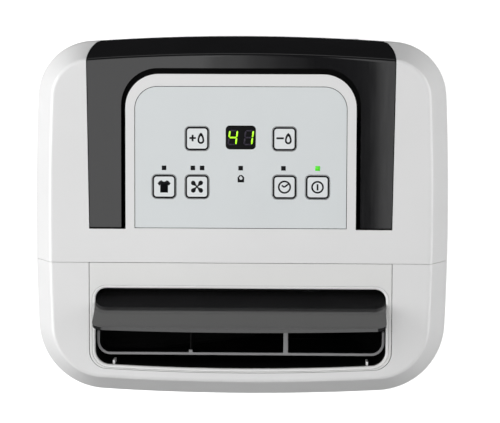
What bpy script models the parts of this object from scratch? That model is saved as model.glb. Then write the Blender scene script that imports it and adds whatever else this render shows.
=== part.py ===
"""Portable dehumidifier: casing, refrigeration circuit, fan, tank, louvred outlet and fold-down handle.

Run with: blender --background --python part.py
Metres, +Z up. The origin is on the floor under the middle of the casing. The user stands on the -Y side.
"""
import math

import bmesh
import bpy
from mathutils import Matrix, Vector

MM = 0.001

# ---- driving dimensions -------------------------------------------------------------------------------
HEIGHT = 560 * MM            # floor to the flat top
HALF_WIDTH = 170 * MM
HALF_DEPTH = 148 * MM
FRONT_BOW = 2000 * MM        # radii of the four bowed sides of the plan
REAR_BOW = 1750 * MM
SIDE_BOW = 2200 * MM
FRONT_CORNER = 57 * MM
REAR_CORNER = 46 * MM
BAND_WIDTH = 15 * MM         # slanted band round the top, in plan
BAND_HEIGHT = 30 * MM
WALL = 2.8 * MM
TOP_WALL = 3 * MM
GAP = 0.3 * MM               # between pieces that meet
SEAM_Y = -36 * MM            # between the front shell and the rear pieces

TRAY_BOTTOM = 34 * MM
TRAY_TOP = 62 * MM
PAD_HALF = (70 * MM, 60 * MM)  # raised pad under the tray
PAD_DROP = 2 * MM
COVER_SPLIT = 505 * MM       # rear shell below, top cover above
DECK_Z = 258 * MM
DECK_THICK = 3 * MM
BULKHEAD_Y = -16 * MM

# handle: a U that lies in a channel, its bar folded over the rear band
HANDLE_OUTER_REAR = 124.4 * MM
HANDLE_OUTER_FRONT = 122.2 * MM
HANDLE_INNER = 96.8 * MM
HANDLE_FRONT_Y = -7.2 * MM
HANDLE_BAR_Y = 121.7 * MM
HANDLE_THICK = 12 * MM
HANDLE_CORNER_Y = 129 * MM
HANDLE_CORNER = 17 * MM
HANDLE_INNER_CORNER = 30 * MM
PIVOT_Y = -0.5 * MM
PIVOT_Z = HEIGHT - 4 * MM
PIN_RADIUS = 2 * MM
PIN_CLEARANCE = 0.3 * MM
CHANNEL_DEPTH = 13.5 * MM
CHANNEL_FRONT_Y = -8.6 * MM
CHANNEL_SIDE_GAP = 0.7 * MM
ISLAND_HALF = 93.3 * MM
ISLAND_REAR_Y = 117 * MM
ISLAND_CORNER = 27 * MM

# control panel on the island
LABEL_HALF = 85.5 * MM
LABEL_FRONT_Y = -7.4 * MM
LABEL_REAR_Y = 106.7 * MM
LABEL_CORNER = 18 * MM
LABEL_TOP = HEIGHT - 0.3 * MM
LABEL_THICK = 0.6 * MM
KEY_SIZE = 19.6 * MM
KEY_CORNER = 3.8 * MM
KEY_TOP = HEIGHT - 0.2 * MM
KEY_DEPTH = 3.6 * MM
KEY_STEM_BOTTOM = HEIGHT - 8 * MM
KEY_SIDE_GAP = 0.35 * MM
UPPER_KEY_Y = 65 * MM
LOWER_KEY_Y = 26 * MM
KEYS = {
    "key_humidity_up": (-35.3 * MM, UPPER_KEY_Y),
    "key_humidity_down": (35.3 * MM, UPPER_KEY_Y),
    "key_laundry": (-62 * MM, LOWER_KEY_Y),
    "key_fan": (-35.3 * MM, LOWER_KEY_Y),
    "key_timer": (35.5 * MM, LOWER_KEY_Y),
    "key_power": (62.2 * MM, LOWER_KEY_Y),
}
WINDOW_SIZE = (23.8 * MM, 18.7 * MM)
WINDOW_Y = 66 * MM
LIGHT_SIZE = 3.4 * MM
LIGHT_Y = 41.2 * MM
LIGHT_XS = [-62 * MM, -38.7 * MM, -31.2 * MM, 0, 34.6 * MM, 62.2 * MM]
BOARD_TOP = HEIGHT - 14.4 * MM

# air outlet
FRAME_HALF = 123 * MM
FRAME_INSET = 22 * MM        # its front edge, inwards from the casing's front
FRAME_CORNER = 14.6 * MM
OUTLET_HALF = 118.3 * MM
OUTLET_REAR_Y = -57 * MM
OUTLET_INSET = 25.3 * MM
OUTLET_CORNER = 12 * MM
OUTLET_REAR_CORNER = 9 * MM
FRAME_BOTTOM = HEIGHT - 45 * MM
FRAME_WALL = 2.2 * MM
FLAP_PIVOT_Y = -72.5 * MM
FLAP_PIVOT_Z = HEIGHT - 7.9 * MM
FLAP_HALF = 117.8 * MM
FLAP_REAR_Y = -59 * MM
FLAP_INSET = 28 * MM
FLAP_CORNER = 8 * MM
FLAP_REAR_CORNER = 8 * MM
FLAP_THICK = 2.8 * MM
FLAP_TOP = HEIGHT - 1.5 * MM
FLAP_EAR = 2.4 * MM
FLAP_OPEN = math.radians(67)
FLAP_PIN = 2.5 * MM

# tank bay in the lower front
BAY_HALF = 112 * MM
BAY_BOTTOM = 70 * MM
BAY_TOP = 252 * MM
TANK_HALF = 108 * MM
TANK_FRONT_Y = -126 * MM
TANK_REAR_Y = -22 * MM
TANK_BOTTOM = 72 * MM
TANK_TOP = 236 * MM
TANK_WALL = 2.5 * MM
PANEL_THICK = 3.6 * MM
GRIP_HALF = 45 * MM
GRIP_Z = (208 * MM, 238 * MM)
FLOAT_X = -70 * MM
FLOAT_PIVOT = (-30 * MM, 222 * MM)

# intake at the back
INTAKE_HALF = 116 * MM
INTAKE_Z = (262 * MM, 482 * MM)
COIL_HALF = 105 * MM
BEND_RADIUS = 11 * MM
COIL_Z = (286 * MM, 486 * MM)
EVAPORATOR_Y = (98 * MM, 120 * MM)
CONDENSER_Y = (70 * MM, 92 * MM)

# fan
FAN_CENTRE = (0.0, 362 * MM)
SCROLL_Y = (-114 * MM, -56 * MM)
SCROLL_START = 74 * MM
SCROLL_GROWTH = 26 * MM
SCROLL_TOP = 462 * MM
WHEEL_RADIUS = 68 * MM
WHEEL_Y = (-108 * MM, -62 * MM)
BLADE_COUNT = 14
SHAFT_RADIUS = 4 * MM

# compressor
COMPRESSOR_XY = (-80 * MM, 70 * MM)
COMPRESSOR_RADIUS = 50 * MM
COMPRESSOR_Z = (61 * MM, 228 * MM)
ACCUMULATOR_XY = (-12 * MM, 78 * MM)
ACCUMULATOR_RADIUS = 15 * MM
GROMMET_RADIUS = 9 * MM
GROMMET_TOP = 57.7 * MM

# casters
CASTER_X = 118 * MM
CASTER_Y = 96 * MM
CASTER_TRAIL = 9 * MM
CASTER_WHEEL_RADIUS = 14 * MM
CASTER_WHEEL_HALF = 6 * MM

# small rear fittings
DRAIN_XZ = (96 * MM, 212 * MM)
CORD_XZ = (-96 * MM, 92 * MM)

CORNER_STEPS = 6
EDGE_STEPS = 4
FINE_STEPS = 16


# ---- materials ----------------------------------------------------------------------------------------
def make_material(name, colour, roughness, metallic=0.0):
    material = bpy.data.materials.new(name)
    material.use_nodes = True
    shader = material.node_tree.nodes["Principled BSDF"]
    shader.inputs["Base Color"].default_value = (*colour, 1)
    shader.inputs["Roughness"].default_value = roughness
    shader.inputs["Metallic"].default_value = metallic
    return material


WHITE = (0.80, 0.80, 0.80)
PALE = (0.62, 0.65, 0.66)
BLACK = (0.012, 0.012, 0.013)
GREY = (0.25, 0.25, 0.26)
COPPER = (0.62, 0.27, 0.14)
ALUMINIUM = (0.70, 0.71, 0.72)
STEEL = (0.35, 0.36, 0.37)
CLEAR_GREY = (0.45, 0.48, 0.50)
GREEN = (0.02, 0.18, 0.06)


# ---- outlines -----------------------------------------------------------------------------------------
def arc(centre, radius, start, end, steps):
    """Points from the start angle up to, but not at, the end angle."""
    angles = [start + (end - start) * i / steps for i in range(steps)]
    return [(centre[0] + radius * math.cos(a), centre[1] + radius * math.sin(a)) for a in angles]


def circle_crossing(centre_a, radius_a, centre_b, radius_b, side):
    """Where two circles cross, on the side of the line between the centres that side (1 or -1) names."""
    a, b = Vector(centre_a), Vector(centre_b)
    gap = (b - a).length
    along = (gap ** 2 + radius_a ** 2 - radius_b ** 2) / (2 * gap)
    across = math.sqrt(radius_a ** 2 - along ** 2)
    forward = (b - a) / gap
    return a + forward * along + Vector((-forward.y, forward.x)) * across * side


def angle_of(vector):
    return math.atan2(vector.y, vector.x)


def casing_outline(inset):
    """The casing's plan, moved inwards by inset: four bowed sides joined by round corners."""
    right = Vector((HALF_WIDTH - SIDE_BOW, 0))
    rear = Vector((0, HALF_DEPTH - REAR_BOW))
    front = Vector((0, FRONT_BOW - HALF_DEPTH))
    rear_corner = circle_crossing(right, SIDE_BOW - REAR_CORNER, rear, REAR_BOW - REAR_CORNER, 1)
    front_corner = circle_crossing(right, SIDE_BOW - FRONT_CORNER, front, FRONT_BOW - FRONT_CORNER, -1)
    low, high = angle_of(front_corner - right), angle_of(rear_corner - right)
    back, ahead = angle_of(rear_corner - rear), angle_of(front_corner - front)
    half = arc(front_corner, FRONT_CORNER - inset, ahead, low, CORNER_STEPS)
    half += arc(right, SIDE_BOW - inset, low, high, EDGE_STEPS)
    half += arc(rear_corner, REAR_CORNER - inset, high, back, CORNER_STEPS)
    rear_edge = arc(rear, REAR_BOW - inset, back, math.pi - back, EDGE_STEPS)
    front_edge = arc(front, FRONT_BOW - inset, -math.pi - ahead, ahead, EDGE_STEPS)
    mirrored = [(-x, y) for x, y in reversed(half)]
    corner_end = (rear.x + (REAR_BOW - inset) * math.cos(back), rear.y + (REAR_BOW - inset) * math.sin(back))
    return half + [corner_end] + rear_edge[1:] + [(-corner_end[0], corner_end[1])] + mirrored + front_edge[1:]


def rounded_box(half_x, half_y, radius, centre=(0.0, 0.0), steps=3):
    """A rectangle with round corners, counter-clockwise."""
    points = []
    for index, (sx, sy) in enumerate([(1, 1), (-1, 1), (-1, -1), (1, -1)]):
        corner = (centre[0] + sx * (half_x - radius), centre[1] + sy * (half_y - radius))
        start = index * math.pi / 2
        points += arc(corner, radius, start, start + math.pi / 2, steps)
        end = start + math.pi / 2
        points.append((corner[0] + radius * math.cos(end), corner[1] + radius * math.sin(end)))
    return points


def bowed_opening(half, rear_y, inset, radius, rear_radius=0.0, steps=4):
    """An outline whose front edge follows the casing's front, with round front and rear corners."""
    centre = Vector((0, FRONT_BOW - HALF_DEPTH))
    reach = FRONT_BOW - inset
    corner_x = half - radius
    corner_y = centre.y - math.sqrt((reach - radius) ** 2 - corner_x ** 2)
    ahead = math.atan2(corner_y - centre.y, corner_x)
    right = arc((corner_x, corner_y), radius, ahead, 0, steps) + [(half, corner_y)]
    if rear_radius:
        right += arc((half - rear_radius, rear_y - rear_radius), rear_radius, 0, math.pi / 2, steps)
    right.append((half - rear_radius, rear_y))
    left = [(-x, y) for x, y in reversed(right)]
    return right + left + arc(centre, reach, -math.pi - ahead, ahead, EDGE_STEPS)[1:]


def u_outline(outer_front, outer_rear, inner, front_y, bar_y, inner_corner, corner, grow=0.0):
    """The handle's plan: two legs joined by a bar that runs past the casing's rear edge."""
    past = HALF_DEPTH + 8 * MM
    corner_x = outer_rear - corner
    right = [(inner, front_y), (outer_front, front_y)]
    right += arc((corner_x, HANDLE_CORNER_Y), corner + grow, 0, math.pi / 2, 5)
    right += [(corner_x, HANDLE_CORNER_Y + corner + grow), (corner_x, past)]
    inside = arc((inner - inner_corner, bar_y - inner_corner), inner_corner, 0, math.pi / 2, 5)
    inside += [(inner - inner_corner, bar_y)]
    left = [(-x, y) for x, y in reversed(right)]
    return right + left + [(-x, y) for x, y in inside] + list(reversed(inside))


def fillet(points, radii, steps=3):
    """An open profile with its inner corners rounded by tangent arcs."""
    result = [points[0]]
    for before, corner, after, radius in zip(points, points[1:], points[2:], radii):
        p = Vector(corner)
        u, v = (Vector(before) - p).normalized(), (Vector(after) - p).normalized()
        half = u.angle(v) / 2
        reach = radius / math.tan(half)
        centre = p + (u + v).normalized() * radius / math.sin(half)
        first, last = p + u * reach - centre, p + v * reach - centre
        turn = first.angle_signed(last)
        for i in range(steps + 1):
            result.append(tuple(centre + first @ Matrix.Rotation(turn * i / steps, 2)))
    return result + [points[-1]]


# ---- meshes -------------------------------------------------------------------------------------------
def to_object(name, bm, material=None):
    bmesh.ops.recalc_face_normals(bm, faces=bm.faces)
    mesh = bpy.data.meshes.new(name)
    bm.to_mesh(mesh)
    bm.free()
    if material:
        mesh.materials.append(material)
    item = bpy.data.objects.new(name, mesh)
    bpy.context.scene.collection.objects.link(item)
    return item


def loft(name, rings, material=None, closed=False):
    """A solid through rings of equal point counts. The ends are capped, or joined when closed."""
    bm = bmesh.new()
    loops = [[bm.verts.new(point) for point in ring] for ring in rings]
    pairs = list(zip(loops, loops[1:])) + ([(loops[-1], loops[0])] if closed else [])
    count = len(loops[0])
    for low, high in pairs:
        for i in range(count):
            bm.faces.new((low[i], low[(i + 1) % count], high[(i + 1) % count], high[i]))
    if not closed:
        bm.faces.new(list(reversed(loops[0])))
        bm.faces.new(loops[-1])
    return to_object(name, bm, material)


def prism(name, outline, low, high, material=None, axis="Z"):
    """An outline pushed from low to high. X takes (y, z) points, Y takes (x, z), Z takes (x, y)."""
    place = {
        "X": lambda p, d: (d, p[0], p[1]),
        "Y": lambda p, d: (p[0], d, p[1]),
        "Z": lambda p, d: (p[0], p[1], d),
    }[axis]
    return loft(name, [[place(p, d) for p in outline] for d in (low, high)], material)


def box(name, low, high, material=None):
    outline = [(low[0], low[1]), (high[0], low[1]), (high[0], high[1]), (low[0], high[1])]
    return prism(name, outline, low[2], high[2], material)


def cylinder(name, centre, radius, low, high, material=None, axis="Z", steps=FINE_STEPS):
    return prism(name, arc(centre, radius, 0, 2 * math.pi, steps), low, high, material, axis)


def turned(name, centre, profile, material=None, axis="Z", steps=FINE_STEPS):
    """A solid of revolution from (radius, height) points, whose last point joins the first."""
    place = {
        "X": lambda c, s, r, h: (h, centre[0] + r * c, centre[1] + r * s),
        "Y": lambda c, s, r, h: (centre[0] + r * c, h, centre[1] + r * s),
        "Z": lambda c, s, r, h: (centre[0] + r * c, centre[1] + r * s, h),
    }[axis]
    rings = []
    for i in range(steps):
        turn = 2 * math.pi * i / steps
        rings.append([place(math.cos(turn), math.sin(turn), r, h) for r, h in profile])
    return loft(name, rings, material, closed=True)


def combine(target, tool, operation):
    """Applies a Boolean to the target's mesh and removes the tool."""
    modifier = target.modifiers.new(operation, "BOOLEAN")
    modifier.operation = operation
    modifier.object = tool
    bpy.context.view_layer.update()
    evaluated = target.evaluated_get(bpy.context.evaluated_depsgraph_get())
    result = bpy.data.meshes.new_from_object(evaluated)
    target.modifiers.clear()
    target.data = result
    bpy.data.objects.remove(tool)
    return target


def cut(target, *tools):
    for tool in tools:
        combine(target, tool, "DIFFERENCE")
    return target


def join(target, *tools):
    for tool in tools:
        combine(target, tool, "UNION")
    return target


def smooth_tube(name, route, radius, material):
    """A round pipe along a smooth curve through the route's points."""
    points = [Vector(p) for p in route]
    path = []
    for i in range(len(points) - 1):
        before, after = points[max(i - 1, 0)], points[min(i + 2, len(points) - 1)]
        start, end = points[i], points[i + 1]
        for step in range(3):
            t = step / 3
            square = 2 * before - 5 * start + 4 * end - after
            cube = 3 * start - before - 3 * end + after
            path.append(0.5 * (2 * start + (end - before) * t + square * t ** 2 + cube * t ** 3))
    path.append(points[-1])
    curve = bpy.data.curves.new(name, "CURVE")
    curve.dimensions = "3D"
    curve.bevel_depth = radius
    curve.bevel_resolution = 2
    curve.use_fill_caps = True
    spline = curve.splines.new("POLY")
    spline.points.add(len(path) - 1)
    for point, place in zip(spline.points, path):
        point.co = (*place, 1)
    curve.materials.append(material)
    item = bpy.data.objects.new(name, curve)
    bpy.context.scene.collection.objects.link(item)
    return item


def put_origin(item, pivot):
    """Moves an object's origin to a pivot without moving its mesh."""
    item.data.transform(Matrix.Translation(-Vector(pivot)))
    item.location = pivot
    return item


# ---- casing -------------------------------------------------------------------------------------------
def casing_rings(profile):
    return [[(x, y, z) for x, y in casing_outline(inset)] for inset, z in profile]


def casing_block(name, bottom, material=None):
    """The full outer form from bottom up, with the slanted band and its soft crease."""
    profile = fillet(
        [(0, bottom), (0, HEIGHT - BAND_HEIGHT), (BAND_WIDTH, HEIGHT), (BAND_WIDTH + 10 * MM, HEIGHT)],
        [14 * MM, 4 * MM])
    return loft(name, casing_rings(profile), material)


def casing_core(name, inset, bottom, drop, band_inset):
    """The casing's form moved inwards: inset on the walls, drop under the flat top."""
    profile = [
        (inset, bottom),
        (inset, HEIGHT - BAND_HEIGHT - drop / 4),
        (BAND_WIDTH + band_inset, HEIGHT - drop),
    ]
    return loft(name, casing_rings(profile))


def far_box(name, y_low, y_high, z_low, z_high):
    reach = HALF_WIDTH + 20 * MM
    return box(name, (-reach, y_low, z_low), (reach, y_high, z_high))


def channel_tool(name, grow, bottom, core_inset, core_drop):
    """The handle's channel as a cutter, wider by grow and as deep as the core allows."""
    tool = prism(
        name,
        u_outline(
            HANDLE_OUTER_FRONT + CHANNEL_SIDE_GAP + grow, HANDLE_OUTER_REAR, ISLAND_HALF - grow,
            CHANNEL_FRONT_Y - grow, ISLAND_REAR_Y - grow, ISLAND_CORNER - grow, HANDLE_CORNER,
            CHANNEL_SIDE_GAP + grow),
        bottom, HEIGHT + 2 * MM)
    return cut(tool, casing_core("core", core_inset, bottom - 10 * MM, core_drop, core_inset * 0.7))


def make_top_cover():
    cover = casing_block("top_cover", COVER_SPLIT, make_material("top_cover", WHITE, 0.32))
    room = casing_core("room", WALL, COVER_SPLIT - 1 * MM, TOP_WALL, 1.6 * MM)
    cut(room, channel_tool("channel_wall", 2.6 * MM, HEIGHT - 35 * MM, 10.6 * MM, CHANNEL_DEPTH + 2.6 * MM))
    cut(cover, room)
    cut(cover, channel_tool("channel", 0, HEIGHT - 31.5 * MM, 8 * MM, CHANNEL_DEPTH))
    cut(cover, far_box("front_half", -HALF_DEPTH - 20 * MM, SEAM_Y + GAP / 2, COVER_SPLIT - 9 * MM,
                       HEIGHT + 9 * MM))
    label = rounded_label(GAP)
    cut(cover, prism("label_seat", label, LABEL_TOP - LABEL_THICK - GAP, HEIGHT + 1 * MM))
    for name, centre in KEYS.items():
        half = KEY_SIZE / 2 + KEY_SIDE_GAP
        hole = rounded_box(half, half, KEY_CORNER, centre)
        cut(cover, prism(name + "_hole", hole, HEIGHT - 9 * MM, HEIGHT))
    cut(cover, box("window_hole", (-10 * MM, WINDOW_Y - 8 * MM, HEIGHT - 9 * MM),
                   (10 * MM, WINDOW_Y + 8 * MM, HEIGHT)))
    for x in LIGHT_XS:
        half = LIGHT_SIZE / 2 + GAP / 2
        cut(cover, box("light_hole", (x - half, LIGHT_Y - half, HEIGHT - 9 * MM),
                       (x + half, LIGHT_Y + half, HEIGHT)))
    for side in (-1, 1):
        ends = sorted((side * 89 * MM, side * 125 * MM))
        cut(cover, cylinder("pin_hole", (PIVOT_Y, PIVOT_Z), PIN_RADIUS + PIN_CLEARANCE, *ends, axis="X",
                            steps=12))
    return cover


def rounded_label(grow=0.0):
    """The label's outline: square front corners, round rear ones."""
    half, radius = LABEL_HALF + grow, LABEL_CORNER + grow
    rear = LABEL_REAR_Y + grow
    right = [(half, LABEL_FRONT_Y - grow)]
    right += arc((half - radius, rear - radius), radius, 0, math.pi / 2, 5) + [(half - radius, rear)]
    return right + [(-x, y) for x, y in reversed(right)]


def make_front_shell():
    shell = casing_block("front_shell", TRAY_TOP + GAP, make_material("front_shell", WHITE, 0.32))
    cut(shell, casing_core("room", WALL, TRAY_TOP - 1 * MM, TOP_WALL, 1.6 * MM))
    cut(shell, far_box("rear_half", SEAM_Y - GAP / 2, HALF_DEPTH + 20 * MM, TRAY_TOP - 2 * MM,
                       HEIGHT + 9 * MM))
    frame = bowed_opening(FRAME_HALF + GAP, SEAM_Y + 10 * MM, FRAME_INSET - GAP, FRAME_CORNER + GAP)
    cut(shell, prism("frame_hole", frame, HEIGHT - 9 * MM, HEIGHT + 1 * MM))
    front = -HALF_DEPTH - 5 * MM
    cut(shell, box("bay_hole", (-BAY_HALF, front, BAY_BOTTOM), (BAY_HALF, -120 * MM, BAY_TOP)))
    return shell


def make_rear_shell():
    shell = prism("rear_shell", casing_outline(0), TRAY_TOP + GAP, COVER_SPLIT - GAP,
                  make_material("rear_shell", WHITE, 0.34))
    cut(shell, prism("room", casing_outline(WALL), TRAY_TOP - 1 * MM, COVER_SPLIT + 1 * MM))
    cut(shell, far_box("front_half", -HALF_DEPTH - 20 * MM, SEAM_Y + GAP / 2, 0, HEIGHT))
    cut(shell, box("intake_hole", (-INTAKE_HALF, 120 * MM, INTAKE_Z[0]),
                   (INTAKE_HALF, 160 * MM, INTAKE_Z[1])))
    cut(shell, cylinder("cord_hole", CORD_XZ, 8.3 * MM, 120 * MM, 160 * MM, axis="Y"))
    wall_y = rear_wall_y(DRAIN_XZ[0])
    join(shell, cylinder("spout", DRAIN_XZ, 8 * MM, wall_y - 16 * MM, wall_y + 1.5 * MM, axis="Y"))
    cut(shell, cylinder("spout_bore", DRAIN_XZ, 6 * MM, wall_y - 20 * MM, wall_y + 20 * MM, axis="Y"))
    return shell


def rear_wall_y(x):
    """The casing's outer rear face at a distance x from the middle."""
    return HALF_DEPTH - REAR_BOW + math.sqrt(REAR_BOW ** 2 - x ** 2)


def front_wall_y(x):
    return FRONT_BOW - HALF_DEPTH - math.sqrt(FRONT_BOW ** 2 - x ** 2)


def make_base_tray():
    inset = 1.2 * MM
    tray = prism("base_tray", casing_outline(inset), TRAY_BOTTOM, TRAY_TOP,
                 make_material("base_tray", GREY, 0.5))
    cut(tray, prism("room", casing_outline(inset + 3 * MM), TRAY_BOTTOM + 4 * MM, TRAY_TOP + 1 * MM))
    for x, y in caster_places():
        join(tray, cylinder("boss", (x, y), 9 * MM, TRAY_BOTTOM + 1 * MM, TRAY_BOTTOM + 16 * MM))
        cut(tray, cylinder("socket", (x, y), 3.9 * MM, TRAY_BOTTOM - 1 * MM, TRAY_BOTTOM + 14 * MM, steps=12))
    for side in (-1, 1):
        x = side * 84 * MM
        join(tray, box("rail", (x - 4 * MM, -132 * MM, TRAY_BOTTOM + 1 * MM),
                       (x + 4 * MM, -26 * MM, TANK_BOTTOM - GAP)))
    join(tray, box("pad", (-PAD_HALF[0], -PAD_HALF[1], TRAY_BOTTOM - PAD_DROP),
                   (*PAD_HALF, TRAY_BOTTOM + 1 * MM)))
    return tray


def make_mid_deck():
    deck = prism("mid_deck", casing_outline(WALL + 0.6 * MM), DECK_Z, DECK_Z + DECK_THICK,
                 make_material("mid_deck", GREY, 0.5))
    for place in ((0, -36 * MM), (136 * MM, 96 * MM), (-136 * MM, 80 * MM)):
        cut(deck, cylinder("hole", place, 9 * MM, DECK_Z - 1 * MM, DECK_Z + 9 * MM, steps=12))
    return deck


def make_bulkhead():
    return box("bulkhead", (-163 * MM, BULKHEAD_Y, TRAY_BOTTOM + 4 * MM + GAP),
               (163 * MM, BULKHEAD_Y + 3 * MM, DECK_Z - GAP), make_material("bulkhead", GREY, 0.5))


# ---- handle -------------------------------------------------------------------------------------------
def make_handle():
    outline = u_outline(HANDLE_OUTER_FRONT, HANDLE_OUTER_REAR, HANDLE_INNER, HANDLE_FRONT_Y, HANDLE_BAR_Y,
                        HANDLE_INNER_CORNER, HANDLE_CORNER)
    handle = casing_block("carry_handle", COVER_SPLIT, make_material("carry_handle", BLACK, 0.08))
    combine(handle, prism("plan", outline, HEIGHT - BAND_HEIGHT, HEIGHT + 1 * MM), "INTERSECT")
    cut(handle, casing_core("under", 6.4 * MM, HEIGHT - 60 * MM, HANDLE_THICK, 5 * MM))
    reach = math.hypot(PIVOT_Y - HANDLE_FRONT_Y, HEIGHT - PIVOT_Z)
    start = math.atan2(HEIGHT - PIVOT_Z, HANDLE_FRONT_Y - PIVOT_Y)
    round_end = arc((PIVOT_Y, PIVOT_Z), reach, start, 1.5 * math.pi, 6) + [(PIVOT_Y, PIVOT_Z - reach)]
    low = (PIVOT_Y - 20 * MM, HEIGHT - 20 * MM)
    relief = [low] + [(low[0], round_end[0][1])] + round_end + [(PIVOT_Y, low[1])]
    cut(handle, prism("relief", relief, -HALF_WIDTH, HALF_WIDTH, axis="X"))
    for side in (-1, 1):
        ends = sorted((side * 90 * MM, side * 128 * MM))
        cut(handle, cylinder("bore", (PIVOT_Y, PIVOT_Z), PIN_RADIUS + PIN_CLEARANCE, *ends, axis="X",
                             steps=12))
    return put_origin(handle, (0, PIVOT_Y, PIVOT_Z))


def make_handle_pins():
    material = make_material("handle_pin", STEEL, 0.3, 1.0)
    for name, side in (("handle_pin_left", -1), ("handle_pin_right", 1)):
        ends = sorted((side * 92 * MM, side * 124.4 * MM))
        pin = cylinder(name, (PIVOT_Y, PIVOT_Z), PIN_RADIUS, *ends, material, axis="X", steps=12)
        put_origin(pin, (0, PIVOT_Y, PIVOT_Z))


# ---- control panel ------------------------------------------------------------------------------------
def make_label():
    label = prism("control_label", rounded_label(), LABEL_TOP - LABEL_THICK, LABEL_TOP,
                  make_material("control_label", PALE, 0.35))
    low, high = LABEL_TOP - 2 * MM, LABEL_TOP + 1 * MM
    for centre in KEYS.values():
        half = KEY_SIZE / 2 + KEY_SIDE_GAP
        cut(label, prism("key_hole", rounded_box(half, half, KEY_CORNER, centre), low, high))
    half_x, half_y = WINDOW_SIZE[0] / 2 + GAP, WINDOW_SIZE[1] / 2 + GAP
    cut(label, prism("window_hole", rounded_box(half_x, half_y, 3 * MM, (0, WINDOW_Y)), low, high))
    for x in LIGHT_XS:
        half = LIGHT_SIZE / 2 + GAP / 2
        cut(label, box("light_hole", (x - half, LIGHT_Y - half, low), (x + half, LIGHT_Y + half, high)))
    return label


def make_keys():
    for name, centre in KEYS.items():
        half = KEY_SIZE / 2
        key = prism(name, rounded_box(half, half, KEY_CORNER, centre), KEY_TOP - KEY_DEPTH, KEY_TOP,
                    make_material(name, WHITE, 0.35))
        join(key, cylinder("stem", centre, 3 * MM, KEY_STEM_BOTTOM, KEY_TOP - 1 * MM, steps=10))
        put_origin(key, (*centre, KEY_TOP))


def make_display():
    half_x, half_y = WINDOW_SIZE[0] / 2, WINDOW_SIZE[1] / 2
    outline = rounded_box(half_x, half_y, 3 * MM, (0, WINDOW_Y))
    prism("display_window", outline, LABEL_TOP - LABEL_THICK, LABEL_TOP,
          make_material("display_window", BLACK, 0.05))
    module = box("display_module", (-13 * MM, WINDOW_Y - 10 * MM, BOARD_TOP + GAP),
                 (13 * MM, WINDOW_Y + 10 * MM, HEIGHT - 3.6 * MM), make_material("display_module", BLACK, 0.4))
    join(module, box("face", (-9 * MM, WINDOW_Y - 7 * MM, HEIGHT - 4 * MM),
                     (9 * MM, WINDOW_Y + 7 * MM, LABEL_TOP - LABEL_THICK - GAP)))


def make_light_pipes():
    strip = box("light_pipe_strip", (LIGHT_XS[0] - 4 * MM, LIGHT_Y - 2.6 * MM, HEIGHT - 5 * MM),
                (LIGHT_XS[-1] + 4 * MM, LIGHT_Y + 2.6 * MM, HEIGHT - 3.3 * MM),
                make_material("light_pipe_strip", CLEAR_GREY, 0.1))
    for x in LIGHT_XS:
        half = LIGHT_SIZE / 2 - GAP / 2
        join(strip, box("pipe", (x - half, LIGHT_Y - half, HEIGHT - 4 * MM),
                        (x + half, LIGHT_Y + half, LABEL_TOP)))


def make_control_board():
    board = box("control_board", (-80 * MM, 6 * MM, BOARD_TOP - 1.6 * MM), (80 * MM, 90 * MM, BOARD_TOP),
                make_material("control_board", GREEN, 0.4))
    for x, y in KEYS.values():
        join(board, box("switch", (x - 3 * MM, y - 3 * MM, BOARD_TOP - 0.5 * MM),
                        (x + 3 * MM, y + 3 * MM, KEY_STEM_BOTTOM - 1 * MM)))


# ---- outlet -------------------------------------------------------------------------------------------
def outlet_outline(grow):
    """The mouth's outline, moved outwards by grow."""
    return bowed_opening(OUTLET_HALF + grow, OUTLET_REAR_Y + grow, OUTLET_INSET - grow, OUTLET_CORNER + grow,
                         OUTLET_REAR_CORNER + grow)


def make_outlet_frame():
    material = make_material("outlet_frame", WHITE, 0.32)
    plate = bowed_opening(FRAME_HALF, SEAM_Y - GAP / 2, FRAME_INSET, FRAME_CORNER)
    frame = prism("outlet_frame", plate, HEIGHT - TOP_WALL, HEIGHT, material)
    join(frame, prism("well", outlet_outline(FRAME_WALL), FRAME_BOTTOM, HEIGHT - 1 * MM))
    cut(frame, prism("mouth", outlet_outline(0), FRAME_BOTTOM - 1 * MM, HEIGHT + 1 * MM))
    for side in (-1, 1):
        ends = sorted((side * 112 * MM, side * 124 * MM))
        cut(frame, cylinder("pin_hole", (FLAP_PIVOT_Y, FLAP_PIVOT_Z), FLAP_PIN + GAP, *ends, axis="X",
                            steps=12))
        x = side * 103.5 * MM
        front = front_wall_y(x) + OUTLET_INSET
        join(frame, box("nub", (x - 1.2 * MM, front - 1 * MM, HEIGHT - 20 * MM),
                        (x + 1.2 * MM, front + 3.2 * MM, HEIGHT - 5 * MM)))
    return frame


def make_flap():
    outline = bowed_opening(FLAP_HALF, FLAP_REAR_Y, FLAP_INSET, FLAP_CORNER, FLAP_REAR_CORNER)
    flap = prism("outlet_flap", outline, FLAP_TOP - FLAP_THICK, FLAP_TOP,
                 make_material("outlet_flap", BLACK, 0.12))
    for side in (-1, 1):
        inner, outer = sorted((side * FLAP_HALF, side * (FLAP_HALF - FLAP_EAR)))
        ear = arc((FLAP_PIVOT_Y, FLAP_PIVOT_Z), 4.2 * MM, math.pi, 2 * math.pi, 8)
        ear += [(FLAP_PIVOT_Y + 4.2 * MM, FLAP_PIVOT_Z), (FLAP_PIVOT_Y + 6 * MM, FLAP_TOP - 1 * MM),
                (FLAP_PIVOT_Y - 12 * MM, FLAP_TOP - 1 * MM)]
        join(flap, prism("ear", ear, inner, outer, axis="X"))
        ends = sorted((side * (FLAP_HALF - 1 * MM), side * 121.5 * MM))
        join(flap, cylinder("pin", (FLAP_PIVOT_Y, FLAP_PIVOT_Z), FLAP_PIN, *ends, axis="X", steps=12))
    put_origin(flap, (0, FLAP_PIVOT_Y, FLAP_PIVOT_Z))
    flap.rotation_euler.x = -FLAP_OPEN
    return flap


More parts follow.
